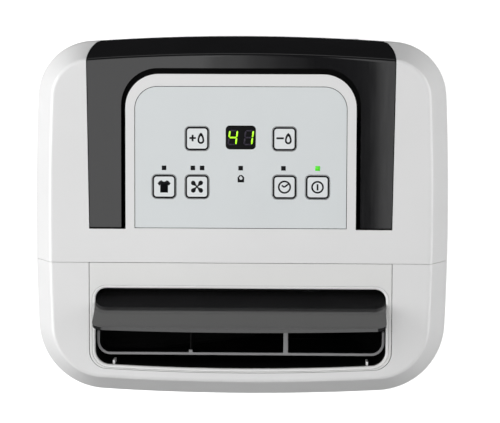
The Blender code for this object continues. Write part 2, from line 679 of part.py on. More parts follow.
def make_flap_motor():
    motor = cylinder("flap_motor", (FLAP_PIVOT_Y, FLAP_PIVOT_Z - 4 * MM), 10.5 * MM, 120.9 * MM, 136 * MM,
                     make_material("flap_motor", STEEL, 0.4, 0.8), axis="X", steps=20)
    cut(motor, far_box("top_flat", FLAP_PIVOT_Y - 20 * MM, FLAP_PIVOT_Y + 20 * MM, HEIGHT - TOP_WALL - GAP,
                       HEIGHT + 9 * MM))
    cut(motor, cylinder("socket", (FLAP_PIVOT_Y, FLAP_PIVOT_Z), FLAP_PIN + GAP, 119 * MM, 128 * MM, axis="X",
                        steps=12))


def make_outlet_grid():
    """A frame with two ribs under the flap, high at the front and low where the flap dips."""
    half, bar, corner = OUTLET_HALF - GAP, 2.2 * MM, 11 * MM
    front_y, rear_y, low_y, high_y = -114.4 * MM, -60 * MM, -84 * MM, -94 * MM
    top, dipped, bottom = HEIGHT - 12 * MM, HEIGHT - 27 * MM, HEIGHT - 33 * MM
    centre, half_y = (0, (front_y + rear_y) / 2), (rear_y - front_y) / 2
    grid = prism("outlet_grid", rounded_box(half, half_y, corner, centre), bottom, top,
                 make_material("outlet_grid", GREY, 0.4))
    cut(grid, prism("inside", rounded_box(half - bar, half_y - bar, corner - bar, centre), bottom - 1 * MM,
                    top + 1 * MM))
    for x in (-41 * MM, 37 * MM):
        join(grid, box("rib", (x - 1.5 * MM, front_y + 1 * MM, bottom), (x + 1.5 * MM, rear_y - 1 * MM, top)))
    over = [(rear_y + 9 * MM, dipped), (rear_y + 9 * MM, top + 9 * MM), (high_y, top + 9 * MM), (high_y, top),
            (low_y, dipped)]
    return cut(grid, prism("over", over, -HALF_WIDTH, HALF_WIDTH, axis="X"))


def make_outlet_duct():
    upper = outlet_outline(FRAME_WALL)
    left, right = scroll_outlet_x()
    y_low, y_high = SCROLL_Y

    def ring(grow, t, z):
        points = []
        for x, y in upper:
            across = (x / (OUTLET_HALF + FRAME_WALL) + 1) / 2
            depth = -HALF_DEPTH + OUTLET_INSET - OUTLET_REAR_Y - 2 * FRAME_WALL
            along = (y - OUTLET_REAR_Y - FRAME_WALL) / depth
            low_x = left + (right - left) * across
            low_y = y_high + (y_low - y_high) * along
            px, py = x + (low_x - x) * t, y + (low_y - y) * t
            centre_x, centre_y = (left + right) / 2 * t, (y_low + y_high) / 2
            px += grow if px < centre_x else -grow
            py += grow if py < centre_y else -grow
            points.append((px, py, z))
        return points

    material = make_material("outlet_duct", GREY, 0.5)
    low, high = SCROLL_TOP + GAP, FRAME_BOTTOM - GAP
    duct = loft("outlet_duct", [ring(0, 1, low), ring(0, 0, high - 8 * MM), ring(0, 0, high)], material)
    wall = 2 * MM
    return cut(duct, loft("inside", [ring(wall, 1, low - 1 * MM), ring(wall, 1, low),
                                     ring(wall, 0, high - 8 * MM), ring(wall, 0, high + 1 * MM)]))


# ---- fan ----------------------------------------------------------------------------------------------
def scroll_outlet_x():
    return 4 * MM, SCROLL_START + SCROLL_GROWTH


def scroll_outline(inset):
    """The volute: a spiral from the cut-off round to the straight outlet, which rises on the +X side."""
    cx, cz = FAN_CENTRE
    turns = 22
    points = []
    for i in range(turns + 1):
        share = i / turns
        angle = math.radians(80) + math.radians(280) * share
        radius = SCROLL_START + SCROLL_GROWTH * share - inset
        points.append((cx + radius * math.cos(angle), cz + radius * math.sin(angle)))
    left, right = scroll_outlet_x()
    return points + [(right - inset, SCROLL_TOP), (left + inset, SCROLL_TOP)]


def make_scroll():
    scroll = prism("fan_scroll", scroll_outline(0), *SCROLL_Y, make_material("fan_scroll", GREY, 0.5),
                   axis="Y")
    wall = 2.5 * MM
    inside = scroll_outline(wall)
    inside[-2:] = [(x, SCROLL_TOP + 1 * MM) for x, _ in inside[-2:]]
    cut(scroll, prism("inside", inside, SCROLL_Y[0] + wall, SCROLL_Y[1] - wall, axis="Y"))
    cut(scroll, cylinder("inlet", FAN_CENTRE, 56 * MM, SCROLL_Y[1] - 9 * MM, SCROLL_Y[1] + 9 * MM, axis="Y",
                         steps=24))
    cut(scroll, cylinder("shaft_hole", FAN_CENTRE, 7 * MM, SCROLL_Y[0] - 9 * MM, SCROLL_Y[0] + 5 * MM,
                         axis="Y"))
    return scroll


def make_fan_wheel():
    steps = BLADE_COUNT * 2
    low, high = WHEEL_Y
    wheel = cylinder("fan_wheel", FAN_CENTRE, WHEEL_RADIUS, low, low + 3 * MM,
                     make_material("fan_wheel", BLACK, 0.5), axis="Y", steps=steps)
    rim = [(WHEEL_RADIUS - 13 * MM, high - 3 * MM), (WHEEL_RADIUS, high - 3 * MM), (WHEEL_RADIUS, high),
           (WHEEL_RADIUS - 13 * MM, high)]
    join(wheel, turned("rim", FAN_CENTRE, rim, axis="Y", steps=steps))
    join(wheel, cylinder("hub", FAN_CENTRE, 11 * MM, low, low + 26 * MM, axis="Y"))
    inner, outer, thick = WHEEL_RADIUS - 11 * MM, WHEEL_RADIUS - 1 * MM, 0.8 * MM
    for i in range(BLADE_COUNT):
        angle = 2 * math.pi * i / BLADE_COUNT
        blade = box("blade", (inner, low + 2 * MM, -thick), (outer, high - 2 * MM, thick))
        blade.data.transform(Matrix.Translation((-inner, 0, 0)))
        blade.data.transform(Matrix.Rotation(math.radians(25), 4, "Y"))
        blade.data.transform(Matrix.Translation((inner, 0, 0)))
        blade.data.transform(Matrix.Rotation(angle, 4, "Y"))
        blade.data.transform(Matrix.Translation((FAN_CENTRE[0], 0, FAN_CENTRE[1])))
        join(wheel, blade)
    cut(wheel, cylinder("bore", FAN_CENTRE, SHAFT_RADIUS + GAP, low - 9 * MM, high, axis="Y", steps=12))
    return put_origin(wheel, (FAN_CENTRE[0], 0, FAN_CENTRE[1]))


def make_fan_drive():
    shaft = cylinder("fan_shaft", FAN_CENTRE, SHAFT_RADIUS, -132 * MM, WHEEL_Y[0] + 22 * MM,
                     make_material("fan_shaft", STEEL, 0.3, 1.0), axis="Y", steps=12)
    put_origin(shaft, (FAN_CENTRE[0], 0, FAN_CENTRE[1]))
    profile = [(SHAFT_RADIUS + GAP, -141 * MM), (34 * MM, -141 * MM), (40 * MM, -137 * MM), (40 * MM, -119 * MM),
               (34 * MM, -115 * MM), (SHAFT_RADIUS + GAP, -115 * MM)]
    turned("fan_motor", FAN_CENTRE, profile, make_material("fan_motor", STEEL, 0.4, 0.8), axis="Y", steps=20)


# ---- intake and refrigeration -------------------------------------------------------------------------
def rear_slab(name, half, near, far, z_low, z_high, material=None):
    """A curved slab between two insets from the casing's rear face."""
    steps = 8
    outer = [(half - 2 * half * i / steps) for i in range(steps + 1)]
    far_y, near_y = [(x, rear_wall_y(x) - far) for x in outer], [(x, rear_wall_y(x) - near) for x in outer]
    return prism(name, near_y + list(reversed(far_y)), z_low, z_high, material)


def make_intake_grille():
    half, z_low, z_high = INTAKE_HALF - 0.6 * MM, INTAKE_Z[0] + 0.6 * MM, INTAKE_Z[1] - 0.6 * MM
    grille = rear_slab("intake_grille", half, 0, 7 * MM, z_low, z_high,
                       make_material("intake_grille", WHITE, 0.4))
    columns, rows = 3, 9
    width, pitch = (2 * half - 16 * MM) / columns, (z_high - z_low - 16 * MM) / rows
    for row in range(rows):
        for column in range(columns):
            x = -half + 8 * MM + column * width
            z = z_low + 8 * MM + row * pitch
            cut(grille, box("slot", (x + 3 * MM, 120 * MM, z + 2.5 * MM),
                            (x + width - 3 * MM, 160 * MM, z + pitch - 2.5 * MM)))
    return put_origin(grille, (0, HALF_DEPTH, (z_low + z_high) / 2))


def make_filter():
    half, z_low, z_high = 110 * MM, INTAKE_Z[0] + 6 * MM, INTAKE_Z[1] - 6 * MM
    y_low, y_high = 129 * MM, 135 * MM
    frame = box("filter_frame", (-half, y_low, z_low), (half, y_high, z_high),
                make_material("filter_frame", GREY, 0.5))
    edge = 7 * MM
    cut(frame, box("inside", (-half + edge, y_low - 1 * MM, z_low + edge), (half - edge, y_high + 1 * MM,
                                                                           z_high - edge)))
    inner = edge + GAP
    box("filter_mesh", (-half + inner, 131.5 * MM, z_low + inner), (half - inner, 132.5 * MM, z_high - inner),
        make_material("filter_mesh", (0.05, 0.06, 0.08), 0.8))


def make_coil(name, y_range):
    """A finned block with the copper return bends standing out of both ends."""
    coil = box(name, (-COIL_HALF, y_range[0], COIL_Z[0]), (COIL_HALF, y_range[1], COIL_Z[1]),
               make_material(name, ALUMINIUM, 0.35, 0.9))
    rows, y = 3, sum(y_range) / 2
    pitch = (COIL_Z[1] - COIL_Z[0]) / (rows + 0.5)
    for side in (-1, 1):
        for row in range(rows):
            centre_z = COIL_Z[0] + pitch * (row + 0.75)
            rings = []
            for i in range(5):
                turn = math.pi * i / 4
                out = Vector((side * math.sin(turn), 0, -math.cos(turn)))
                base = Vector((side * (COIL_HALF - 2 * MM), y, centre_z))
                rings.append([base + out * BEND_RADIUS + out * (4 * MM * math.cos(a))
                              + Vector((0, 4 * MM * math.sin(a), 0))
                              for a in [2 * math.pi * k / 6 for k in range(6)]])
            join(coil, loft("bend", rings))
    return coil


def make_drip_tray():
    tray = box("drip_tray", (-122 * MM, 62 * MM, DECK_Z + DECK_THICK + GAP), (122 * MM, 126 * MM, 282 * MM),
               make_material("drip_tray", CLEAR_GREY, 0.4))
    floor = DECK_Z + DECK_THICK + GAP
    join(tray, box("gutter", (-10 * MM, -46 * MM, floor), (10 * MM, 64 * MM, floor + 12 * MM)))
    cut(tray, box("room", (-120 * MM, 64 * MM, floor + 2 * MM), (120 * MM, 124 * MM, 290 * MM)))
    cut(tray, box("gutter_room", (-8 * MM, -44 * MM, floor + 2 * MM), (8 * MM, 66 * MM, 290 * MM)))
    join(tray, cylinder("nozzle", (0, -36 * MM), 7 * MM, 249 * MM, floor + 1 * MM, steps=12))
    cut(tray, cylinder("nozzle_bore", (0, -36 * MM), 4.5 * MM, 240 * MM, floor + 9 * MM, steps=12))
    return tray


def grommet_places():
    x, y = COMPRESSOR_XY
    return [(x + 58 * MM * math.cos(a), y + 58 * MM * math.sin(a))
            for a in (math.radians(90 + 120 * i) for i in range(3))]


def make_compressor():
    x, y = COMPRESSOR_XY
    bottom, top = COMPRESSOR_Z
    r = COMPRESSOR_RADIUS
    profile = [(0.02 * MM, bottom - 3 * MM), (r * 0.7, bottom), (r, bottom + 16 * MM), (r, top - 20 * MM),
               (r * 0.75, top - 4 * MM), (0.02 * MM, top)]
    compressor = turned("compressor", (x, y), profile,
                        make_material("compressor", (0.02, 0.02, 0.02), 0.4, 0.3), steps=20)
    for px, py in grommet_places():
        direction = Vector((px - x, py - y)).normalized()
        side = Vector((-direction.y, direction.x)) * 9 * MM
        tip, root = Vector((px, py)) + direction * 8 * MM, Vector((x, y)) + direction * 20 * MM
        outline = [root - side, tip - side, tip + side, root + side]
        join(compressor, prism("foot", [tuple(p) for p in outline], bottom - 3 * MM, bottom + 1 * MM))
    join(compressor, cylinder("accumulator", ACCUMULATOR_XY, ACCUMULATOR_RADIUS, 90 * MM, 190 * MM))
    join(compressor, box("strap", (x + r - 6 * MM, y - 2 * MM, 120 * MM),
                         (ACCUMULATOR_XY[0] - 8 * MM, y + 14 * MM, 140 * MM)))
    return compressor


def make_grommets():
    material = make_material("grommet", BLACK, 0.7)
    low = TRAY_BOTTOM + 4 * MM + GAP
    for index, place in enumerate(grommet_places()):
        r = GROMMET_RADIUS
        profile = [(0.02 * MM, low), (r, low), (r, low + 6 * MM), (r * 0.75, low + 8 * MM), (r * 0.75, low + 11 * MM),
                   (r, low + 13 * MM), (r, GROMMET_TOP), (0.02 * MM, GROMMET_TOP)]
        turned(f"compressor_grommet_{index + 1}", place, profile, material, steps=12)


def make_pipes():
    copper = make_material("copper_pipe", COPPER, 0.25, 1.0)
    ax, ay = ACCUMULATOR_XY
    end = COIL_HALF + 16 * MM
    evaporator_y, condenser_y = sum(EVAPORATOR_Y) / 2, sum(CONDENSER_Y) / 2
    smooth_tube("suction_pipe", [
        (ax, ay, 191.5 * MM), (ax, ay, 206 * MM), (10 * MM, ay + 4 * MM, 228 * MM), (60 * MM, 86 * MM, 234 * MM),
        (112 * MM, 92 * MM, 234 * MM), (135 * MM, 96 * MM, 250 * MM), (136 * MM, 96 * MM, 290 * MM),
        (136 * MM, 100 * MM, 330 * MM), (132 * MM, evaporator_y, 346 * MM), (end, evaporator_y, 349 * MM)],
        4.5 * MM, copper)
    cx, cy = COMPRESSOR_XY
    smooth_tube("discharge_pipe", [
        (cx, cy, COMPRESSOR_Z[1] + 1.5 * MM), (cx, cy, 236 * MM), (cx - 14 * MM, cy, 245 * MM),
        (-122 * MM, 74 * MM, 245 * MM), (-135 * MM, 79 * MM, 254 * MM), (-136 * MM, 80 * MM, 290 * MM),
        (-136 * MM, condenser_y, 330 * MM), (-130 * MM, condenser_y, 346 * MM), (-end, condenser_y, 349 * MM)],
        3.5 * MM, copper)
    smooth_tube("capillary_tube", [
        (end, condenser_y, 400 * MM), (130 * MM, condenser_y, 402 * MM), (137 * MM, 86 * MM, 410 * MM),
        (139 * MM, 95 * MM, 420 * MM), (137 * MM, 104 * MM, 430 * MM), (130 * MM, evaporator_y, 438 * MM),
        (end, evaporator_y, 440 * MM)], 1.6 * MM, copper)


def make_electrics():
    box("electrical_box", (42 * MM, 10 * MM, 62 * MM), (140 * MM, 112 * MM, 190 * MM),
        make_material("electrical_box", GREY, 0.5))
    cylinder("run_capacitor", (18 * MM, 22 * MM), 17 * MM, TRAY_BOTTOM + 4 * MM + GAP, 118 * MM,
             make_material("run_capacitor", ALUMINIUM, 0.4, 0.7))
    bush = turned("cord_inlet", CORD_XZ, [
        (4 * MM, 134 * MM), (8 * MM, 134 * MM), (8 * MM, rear_wall_y(CORD_XZ[0]) + 0.6 * MM),
        (4 * MM, rear_wall_y(CORD_XZ[0]) + 0.6 * MM)], make_material("cord_inlet", BLACK, 0.5), axis="Y")
    wall_y = rear_wall_y(DRAIN_XZ[0])
    cap = turned("drain_cap", DRAIN_XZ, [
        (0.02 * MM, wall_y - 12 * MM), (5.6 * MM, wall_y - 12 * MM), (5.6 * MM, wall_y + 1.5 * MM + GAP),
        (9 * MM, wall_y + 1.5 * MM + GAP), (9 * MM, wall_y + 2.2 * MM), (0.02 * MM, wall_y + 2.2 * MM)],
        make_material("drain_cap", GREY, 0.5), axis="Y")
    return bush, put_origin(cap, (DRAIN_XZ[0], wall_y, DRAIN_XZ[1]))


# ---- tank ---------------------------------------------------------------------------------------------
def make_tank():
    outline = rounded_box(TANK_HALF, (TANK_REAR_Y - TANK_FRONT_Y) / 2, 12 * MM,
                          (0, (TANK_REAR_Y + TANK_FRONT_Y) / 2))
    inner = rounded_box(TANK_HALF - TANK_WALL, (TANK_REAR_Y - TANK_FRONT_Y) / 2 - TANK_WALL, 9.5 * MM,
                        (0, (TANK_REAR_Y + TANK_FRONT_Y) / 2))
    tank = prism("tank", outline, TANK_BOTTOM, TANK_TOP, make_material("tank", CLEAR_GREY, 0.15))
    cut(tank, prism("room", inner, TANK_BOTTOM + TANK_WALL, TANK_TOP + 1 * MM))
    pivot_y, pivot_z = FLOAT_PIVOT
    for side in (-1, 1):
        x = FLOAT_X + side * 12 * MM
        join(tank, box("ear", (x - 1.5 * MM, pivot_y - 5 * MM, pivot_z - 6 * MM),
                       (x + 1.5 * MM, TANK_REAR_Y - 1 * MM, pivot_z + 6 * MM)))
    cut(tank, cylinder("ear_bore", FLOAT_PIVOT, 2.4 * MM, FLOAT_X - 20 * MM, FLOAT_X + 20 * MM, axis="X",
                       steps=12))
    return tank


def make_tank_panel():
    """The tank's front panel, flush with the front shell, with a pocket for the fingers and a level slot."""
    half, z_low, z_high = BAY_HALF - 0.6 * MM, TANK_BOTTOM, BAY_TOP - 0.6 * MM
    steps = 8
    xs = [half - 2 * half * i / steps for i in range(steps + 1)]
    outer = [(x, front_wall_y(x)) for x in xs]
    inner = [(x, front_wall_y(x) + PANEL_THICK) for x in xs]
    panel = prism("tank_panel", outer + list(reversed(inner)), z_low, z_high,
                  make_material("tank_panel", WHITE, 0.32))
    back = -128 * MM
    wall = 2 * MM
    join(panel, box("pocket", (-GRIP_HALF - wall, -146 * MM, GRIP_Z[0] - wall), (GRIP_HALF + wall, back,
                                                                                 GRIP_Z[1] + wall)))
    cut(panel, box("pocket_room", (-GRIP_HALF, -155 * MM, GRIP_Z[0]), (GRIP_HALF, back - wall, GRIP_Z[1])))
    cut(panel, box("level_slot", (72 * MM, -155 * MM, 100 * MM), (84 * MM, -130 * MM, 200 * MM)))
    low, high = front_wall_y(78 * MM), front_wall_y(78 * MM) + 2.5 * MM
    box("level_window", (72 * MM + GAP, low + 1 * MM, 100 * MM + GAP),
        (84 * MM - GAP, high + 1 * MM, 200 * MM - GAP), make_material("level_window", CLEAR_GREY, 0.1))
    return panel


def make_tank_lid():
    centre_y = (TANK_REAR_Y + TANK_FRONT_Y) / 2
    half_y = (TANK_REAR_Y - TANK_FRONT_Y) / 2
    lid = prism("tank_lid", rounded_box(TANK_HALF, half_y, 12 * MM, (0, centre_y)), TANK_TOP + GAP,
                TANK_TOP + 3 * MM, make_material("tank_lid", CLEAR_GREY, 0.2))
    cut(lid, cylinder("inlet", (0, -38 * MM), 13 * MM, TANK_TOP - 1 * MM, TANK_TOP + 9 * MM))
    return lid


def make_float_arm():
    py, pz = FLOAT_PIVOT
    arm = prism("float_arm", [(py - 3 * MM, pz - 3 * MM), (py + 3 * MM, pz), (py, pz + 3.4 * MM),
                              (-54 * MM, 206 * MM), (-54 * MM, 200 * MM)],
                FLOAT_X - 4 * MM, FLOAT_X + 4 * MM, make_material("float_arm", WHITE, 0.5), axis="X")
    join(arm, box("float", (FLOAT_X - 18 * MM, -92 * MM, 186 * MM), (FLOAT_X + 18 * MM, -52 * MM, 206 * MM)))
    join(arm, cylinder("pin", FLOAT_PIVOT, 2 * MM, FLOAT_X - 13 * MM, FLOAT_X + 13 * MM, axis="X", steps=10))
    put_origin(arm, (FLOAT_X, *FLOAT_PIVOT))
    box("float_sensor", (FLOAT_X - 8 * MM, TANK_REAR_Y + 1.5 * MM, 214 * MM),
        (FLOAT_X + 8 * MM, BULKHEAD_Y - GAP, 232 * MM), make_material("float_sensor", BLACK, 0.5))


# ---- casters ------------------------------------------------------------------------------------------
def caster_places():
    return [(x, y) for y in (-CASTER_Y, CASTER_Y) for x in (-CASTER_X, CASTER_X)]


def make_casters():
    fork_material = make_material("caster_fork", BLACK, 0.5)
    wheel_material = make_material("caster_wheel", GREY, 0.6)
    corners = ("front_left", "front_right", "rear_left", "rear_right")
    for corner, (x, y) in zip(corners, caster_places()):
        axle = (y + CASTER_TRAIL, CASTER_WHEEL_RADIUS)
        r = CASTER_WHEEL_RADIUS
        wheel = turned(f"caster_wheel_{corner}", axle, [
            (2.5 * MM, x - CASTER_WHEEL_HALF), (r - 1.5 * MM, x - CASTER_WHEEL_HALF),
            (r, x - CASTER_WHEEL_HALF + 1.5 * MM), (r, x + CASTER_WHEEL_HALF - 1.5 * MM),
            (r - 1.5 * MM, x + CASTER_WHEEL_HALF), (2.5 * MM, x + CASTER_WHEEL_HALF)],
            wheel_material, axis="X", steps=18)
        put_origin(wheel, (x, *axle))
        fork = cylinder(f"caster_fork_{corner}", (x, y), 11 * MM, 29.5 * MM, TRAY_BOTTOM - GAP, fork_material,
                        steps=12)
        join(fork, cylinder("stem", (x, y), 3.5 * MM, 31 * MM, TRAY_BOTTOM + 12 * MM, steps=12))
        outer, inner = CASTER_WHEEL_HALF + 3 * MM, CASTER_WHEEL_HALF + 0.6 * MM
        for side in (-1, 1):
            low, high = sorted((x + side * outer, x + side * inner))
            cheek = arc(axle, 5 * MM, math.pi, 2 * math.pi, 6) + [
                (axle[0] + 5 * MM, axle[1]), (axle[0] + 4 * MM, 31 * MM), (y - 6 * MM, 31 * MM)]
            join(fork, prism("cheek", cheek, low, high, axis="X"))
        join(fork, cylinder("axle", axle, 2 * MM, x - outer + 1 * MM, x + outer - 1 * MM, axis="X", steps=10))
        put_origin(fork, (x, y, TRAY_BOTTOM))


def build():
    for item in list(bpy.data.objects):
        bpy.data.objects.remove(item)
    make_top_cover()
    make_front_shell()
    make_rear_shell()
    make_base_tray()
    make_mid_deck()
    make_bulkhead()
    make_handle()
    make_handle_pins()
    make_label()
    make_keys()
    make_display()
    make_light_pipes()
    make_control_board()
    make_outlet_frame()
    make_flap()
    make_flap_motor()
    make_outlet_grid()
    make_outlet_duct()
    make_scroll()
    make_fan_wheel()
    make_fan_drive()
    make_intake_grille()
    make_filter()
    make_coil("evaporator", EVAPORATOR_Y)
    make_coil("condenser", CONDENSER_Y)
    make_drip_tray()
    make_compressor()
    make_grommets()
    make_pipes()
    make_electrics()
    make_tank()
    make_tank_panel()
    make_tank_lid()
    make_float_arm()
    make_casters()


build()
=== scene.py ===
"""The looks of a portable dehumidifier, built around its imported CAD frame.

Metres, +Z up, with the front towards -Y.
"""
import math

import bmesh
import bpy
from mathutils import Matrix, Vector


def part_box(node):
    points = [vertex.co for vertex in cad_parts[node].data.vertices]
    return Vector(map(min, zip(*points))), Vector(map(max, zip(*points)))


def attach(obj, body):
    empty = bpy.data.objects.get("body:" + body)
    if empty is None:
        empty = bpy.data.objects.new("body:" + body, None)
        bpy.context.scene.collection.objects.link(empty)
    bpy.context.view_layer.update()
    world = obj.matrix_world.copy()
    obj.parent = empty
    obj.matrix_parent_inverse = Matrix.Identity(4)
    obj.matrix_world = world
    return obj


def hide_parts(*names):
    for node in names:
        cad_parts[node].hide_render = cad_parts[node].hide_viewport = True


MM = 0.001
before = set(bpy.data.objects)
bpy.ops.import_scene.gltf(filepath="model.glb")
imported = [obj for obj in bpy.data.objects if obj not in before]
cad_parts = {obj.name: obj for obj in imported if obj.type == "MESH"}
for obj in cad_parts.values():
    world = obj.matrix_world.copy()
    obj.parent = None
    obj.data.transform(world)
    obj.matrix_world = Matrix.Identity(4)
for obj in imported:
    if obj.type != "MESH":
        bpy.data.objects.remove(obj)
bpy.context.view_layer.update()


def corners(node):
    low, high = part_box(node)
    return Vector(low), Vector(high)


def centre_of(node):
    low, high = corners(node)
    return (low + high) / 2


# ---- places read from the frame ------------------------------------
COVER_LOW, COVER_HIGH = corners("top_cover")
SHELL_LOW, SHELL_HIGH = corners("rear_shell")
FRONT_LOW, FRONT_HIGH = corners("front_shell")
TRAY_LOW, TRAY_HIGH = corners("base_tray")
LABEL_LOW, LABEL_HIGH = corners("control_label")
HANDLE_LOW, HANDLE_HIGH = corners("carry_handle")
OUTLET_LOW, OUTLET_HIGH = corners("outlet_frame")
GRID_LOW, GRID_HIGH = corners("outlet_grid")
WINDOW_LOW, WINDOW_HIGH = corners("display_window")
LIGHT_LOW, LIGHT_HIGH = corners("light_pipe_strip")
GRILLE_LOW, GRILLE_HIGH = corners("intake_grille")
PANEL_LOW, PANEL_HIGH = corners("tank_panel")
MESH_LOW, MESH_HIGH = corners("filter_mesh")

TOP = COVER_HIGH.z
HALF_WIDTH = SHELL_HIGH.x
REAR_Y = SHELL_HIGH.y
FRONT_Y = FRONT_LOW.y
COVER_SPLIT = COVER_LOW.z

# the casing's own form, as the CAD has it
FRONT_BOW = 2000 * MM
REAR_BOW = 1750 * MM
SIDE_BOW = 2200 * MM
FRONT_CORNER = 57 * MM
REAR_CORNER = 46 * MM
BAND_WIDTH = 15 * MM
BAND_HEIGHT = 30 * MM
WALL = 2.8 * MM
TOP_WALL = 3 * MM

# the handle and its channel
HANDLE_OUTER_REAR = HANDLE_HIGH.x
HANDLE_OUTER_FRONT = 122.2 * MM
HANDLE_INNER = 96.8 * MM
HANDLE_FRONT_Y = HANDLE_LOW.y
HANDLE_BAR_Y = 121.7 * MM
HANDLE_THICK = 12 * MM
HANDLE_CORNER_Y = 129 * MM
HANDLE_CORNER = 17 * MM
HANDLE_INNER_CORNER = 30 * MM
PIVOT_Y, PIVOT_Z = centre_of("handle_pin_left").yz
CHANNEL_DEPTH = 13.5 * MM
CHANNEL_FRONT_Y = -8.6 * MM
CHANNEL_SIDE_GAP = 0.7 * MM
CHANNEL_RIM = 1 * MM         # white edge above the channel walls, which are painted black as shade
ISLAND_HALF = 93.3 * MM
ISLAND_REAR_Y = 117 * MM
ISLAND_CORNER = 27 * MM

# the outlet
OUTLET_HALF = 118.3 * MM
OUTLET_REAR_Y = -57 * MM
OUTLET_INSET = 25.3 * MM
OUTLET_CORNER = 12 * MM
FRAME_INSET = 22 * MM
FRAME_CORNER = 14.6 * MM
FRAME_WALL = 2.2 * MM
OUTLET_REAR_CORNER = 9 * MM
LIP = 2.5 * MM               # width of the rounded lip round the mouth

KEY_NODES = ("key_humidity_up", "key_humidity_down", "key_laundry", "key_fan", "key_timer", "key_power")
CASTER_CORNERS = ("front_left", "front_right", "rear_left", "rear_right")
KEY_CORNER = 3.8 * MM
KEY_GAP = 0.35 * MM          # round a key, in the cover and the label
CORNER_STEPS = 20
EDGE_STEPS = 16


# ---- outlines ------------------------------------------------------
def arc(centre, radius, start, end, steps):
    angles = [start + (end - start) * i / steps for i in range(steps)]
    return [(centre[0] + radius * math.cos(a), centre[1] + radius * math.sin(a)) for a in angles]


def circle(centre, radius, steps=32):
    return arc(centre, radius, 0, 2 * math.pi, steps)


def mirrored(points):
    return [(-x, y) for x, y in reversed(points)]


def circle_crossing(centre_a, radius_a, centre_b, radius_b, side):
    a, b = Vector(centre_a), Vector(centre_b)
    gap = (b - a).length
    along = (gap ** 2 + radius_a ** 2 - radius_b ** 2) / (2 * gap)
    across = math.sqrt(radius_a ** 2 - along ** 2)
    forward = (b - a) / gap
    return a + forward * along + Vector((-forward.y, forward.x)) * across * side


def angle_of(vector):
    return math.atan2(vector.y, vector.x)


def casing_outline(inset):
    """The casing's plan, moved inwards by inset: four bowed sides joined by round corners."""
    right = Vector((HALF_WIDTH - SIDE_BOW, 0))
    rear = Vector((0, REAR_Y - REAR_BOW))
    front = Vector((0, FRONT_Y + FRONT_BOW))
    rear_corner = circle_crossing(right, SIDE_BOW - REAR_CORNER, rear, REAR_BOW - REAR_CORNER, 1)
    front_corner = circle_crossing(right, SIDE_BOW - FRONT_CORNER, front, FRONT_BOW - FRONT_CORNER, -1)
    low, high = angle_of(front_corner - right), angle_of(rear_corner - right)
    back, ahead = angle_of(rear_corner - rear), angle_of(front_corner - front)
    half = arc(front_corner, FRONT_CORNER - inset, ahead, low, CORNER_STEPS)
    half += arc(right, SIDE_BOW - inset, low, high, EDGE_STEPS)
    half += arc(rear_corner, REAR_CORNER - inset, high, back, CORNER_STEPS)
    rear_edge = arc(rear, REAR_BOW - inset, back, math.pi - back, EDGE_STEPS)
    front_edge = arc(front, FRONT_BOW - inset, -math.pi - ahead, ahead, EDGE_STEPS)
    far = (REAR_BOW - inset) * math.cos(back), rear.y + (REAR_BOW - inset) * math.sin(back)
    return half + [far] + rear_edge[1:] + [(-far[0], far[1])] + mirrored(half) + front_edge[1:]


def rounded_box(half_x, half_y, radius, centre=(0.0, 0.0), steps=8):
    points = []
    for index, (sx, sy) in enumerate([(1, 1), (-1, 1), (-1, -1), (1, -1)]):
        corner = (centre[0] + sx * (half_x - radius), centre[1] + sy * (half_y - radius))
        start = index * math.pi / 2
        end = start + math.pi / 2
        points += arc(corner, radius, start, end, steps)
        points.append((corner[0] + radius * math.cos(end), corner[1] + radius * math.sin(end)))
    return points


def bowed_opening(half, rear_y, inset, radius, rear_radius=0.0):
    """An outline whose front edge follows the casing's front, with round front and rear corners."""
    steps = 10
    centre = Vector((0, FRONT_Y + FRONT_BOW))
    reach = FRONT_BOW - inset
    corner_x = half - radius
    corner_y = centre.y - math.sqrt((reach - radius) ** 2 - corner_x ** 2)
    ahead = math.atan2(corner_y - centre.y, corner_x)
    right = arc((corner_x, corner_y), radius, ahead, 0, steps) + [(half, corner_y)]
    if rear_radius:
        right += arc((half - rear_radius, rear_y - rear_radius), rear_radius, 0, math.pi / 2, steps)
        right.append((half - rear_radius, rear_y))
    else:
        right.append((half, rear_y))
    return right + mirrored(right) + arc(centre, reach, -math.pi - ahead, ahead, EDGE_STEPS)[1:]


def u_outline(outer_front, outer_rear, inner, front_y, bar_y, inner_corner, grow=0.0):
    """The handle's plan: two legs joined by a bar that runs past the casing's rear edge."""
    past = REAR_Y + 8 * MM
    corner_x = outer_rear - HANDLE_CORNER
    reach = HANDLE_CORNER + grow
    right = [(inner, front_y), (outer_front, front_y)]
    right += arc((corner_x, HANDLE_CORNER_Y), reach, 0, math.pi / 2, 12)
    right += [(corner_x, HANDLE_CORNER_Y + reach), (corner_x, past)]
    inside = arc((inner - inner_corner, bar_y - inner_corner), inner_corner, 0, math.pi / 2, 14)
    inside += [(inner - inner_corner, bar_y)]
    return right + mirrored(right) + [(-x, y) for x, y in inside] + list(reversed(inside))


def label_outline(grow=0.0):
    half, rear = LABEL_HIGH.x + grow, LABEL_HIGH.y + grow
    radius = 18 * MM + grow
    right = [(half, LABEL_LOW.y - grow)]
    right += arc((half - radius, rear - radius), radius, 0, math.pi / 2, 12) + [(half - radius, rear)]
    return right + mirrored(right)


def fillet(points, radii, steps=6):
    """An open profile with its inner corners rounded by tangent arcs."""
    result = [points[0]]
    for before, corner, after, radius in zip(points, points[1:], points[2:], radii):
        p = Vector(corner)
        u, v = (Vector(before) - p).normalized(), (Vector(after) - p).normalized()
        half = u.angle(v) / 2
        reach = radius / math.tan(half)
        centre = p + (u + v).normalized() * radius / math.sin(half)
        first, last = p + u * reach - centre, p + v * reach - centre
        turn = first.angle_signed(last)
        result += [tuple(centre + first @ Matrix.Rotation(turn * i / steps, 2)) for i in range(steps + 1)]
    return result + [points[-1]]


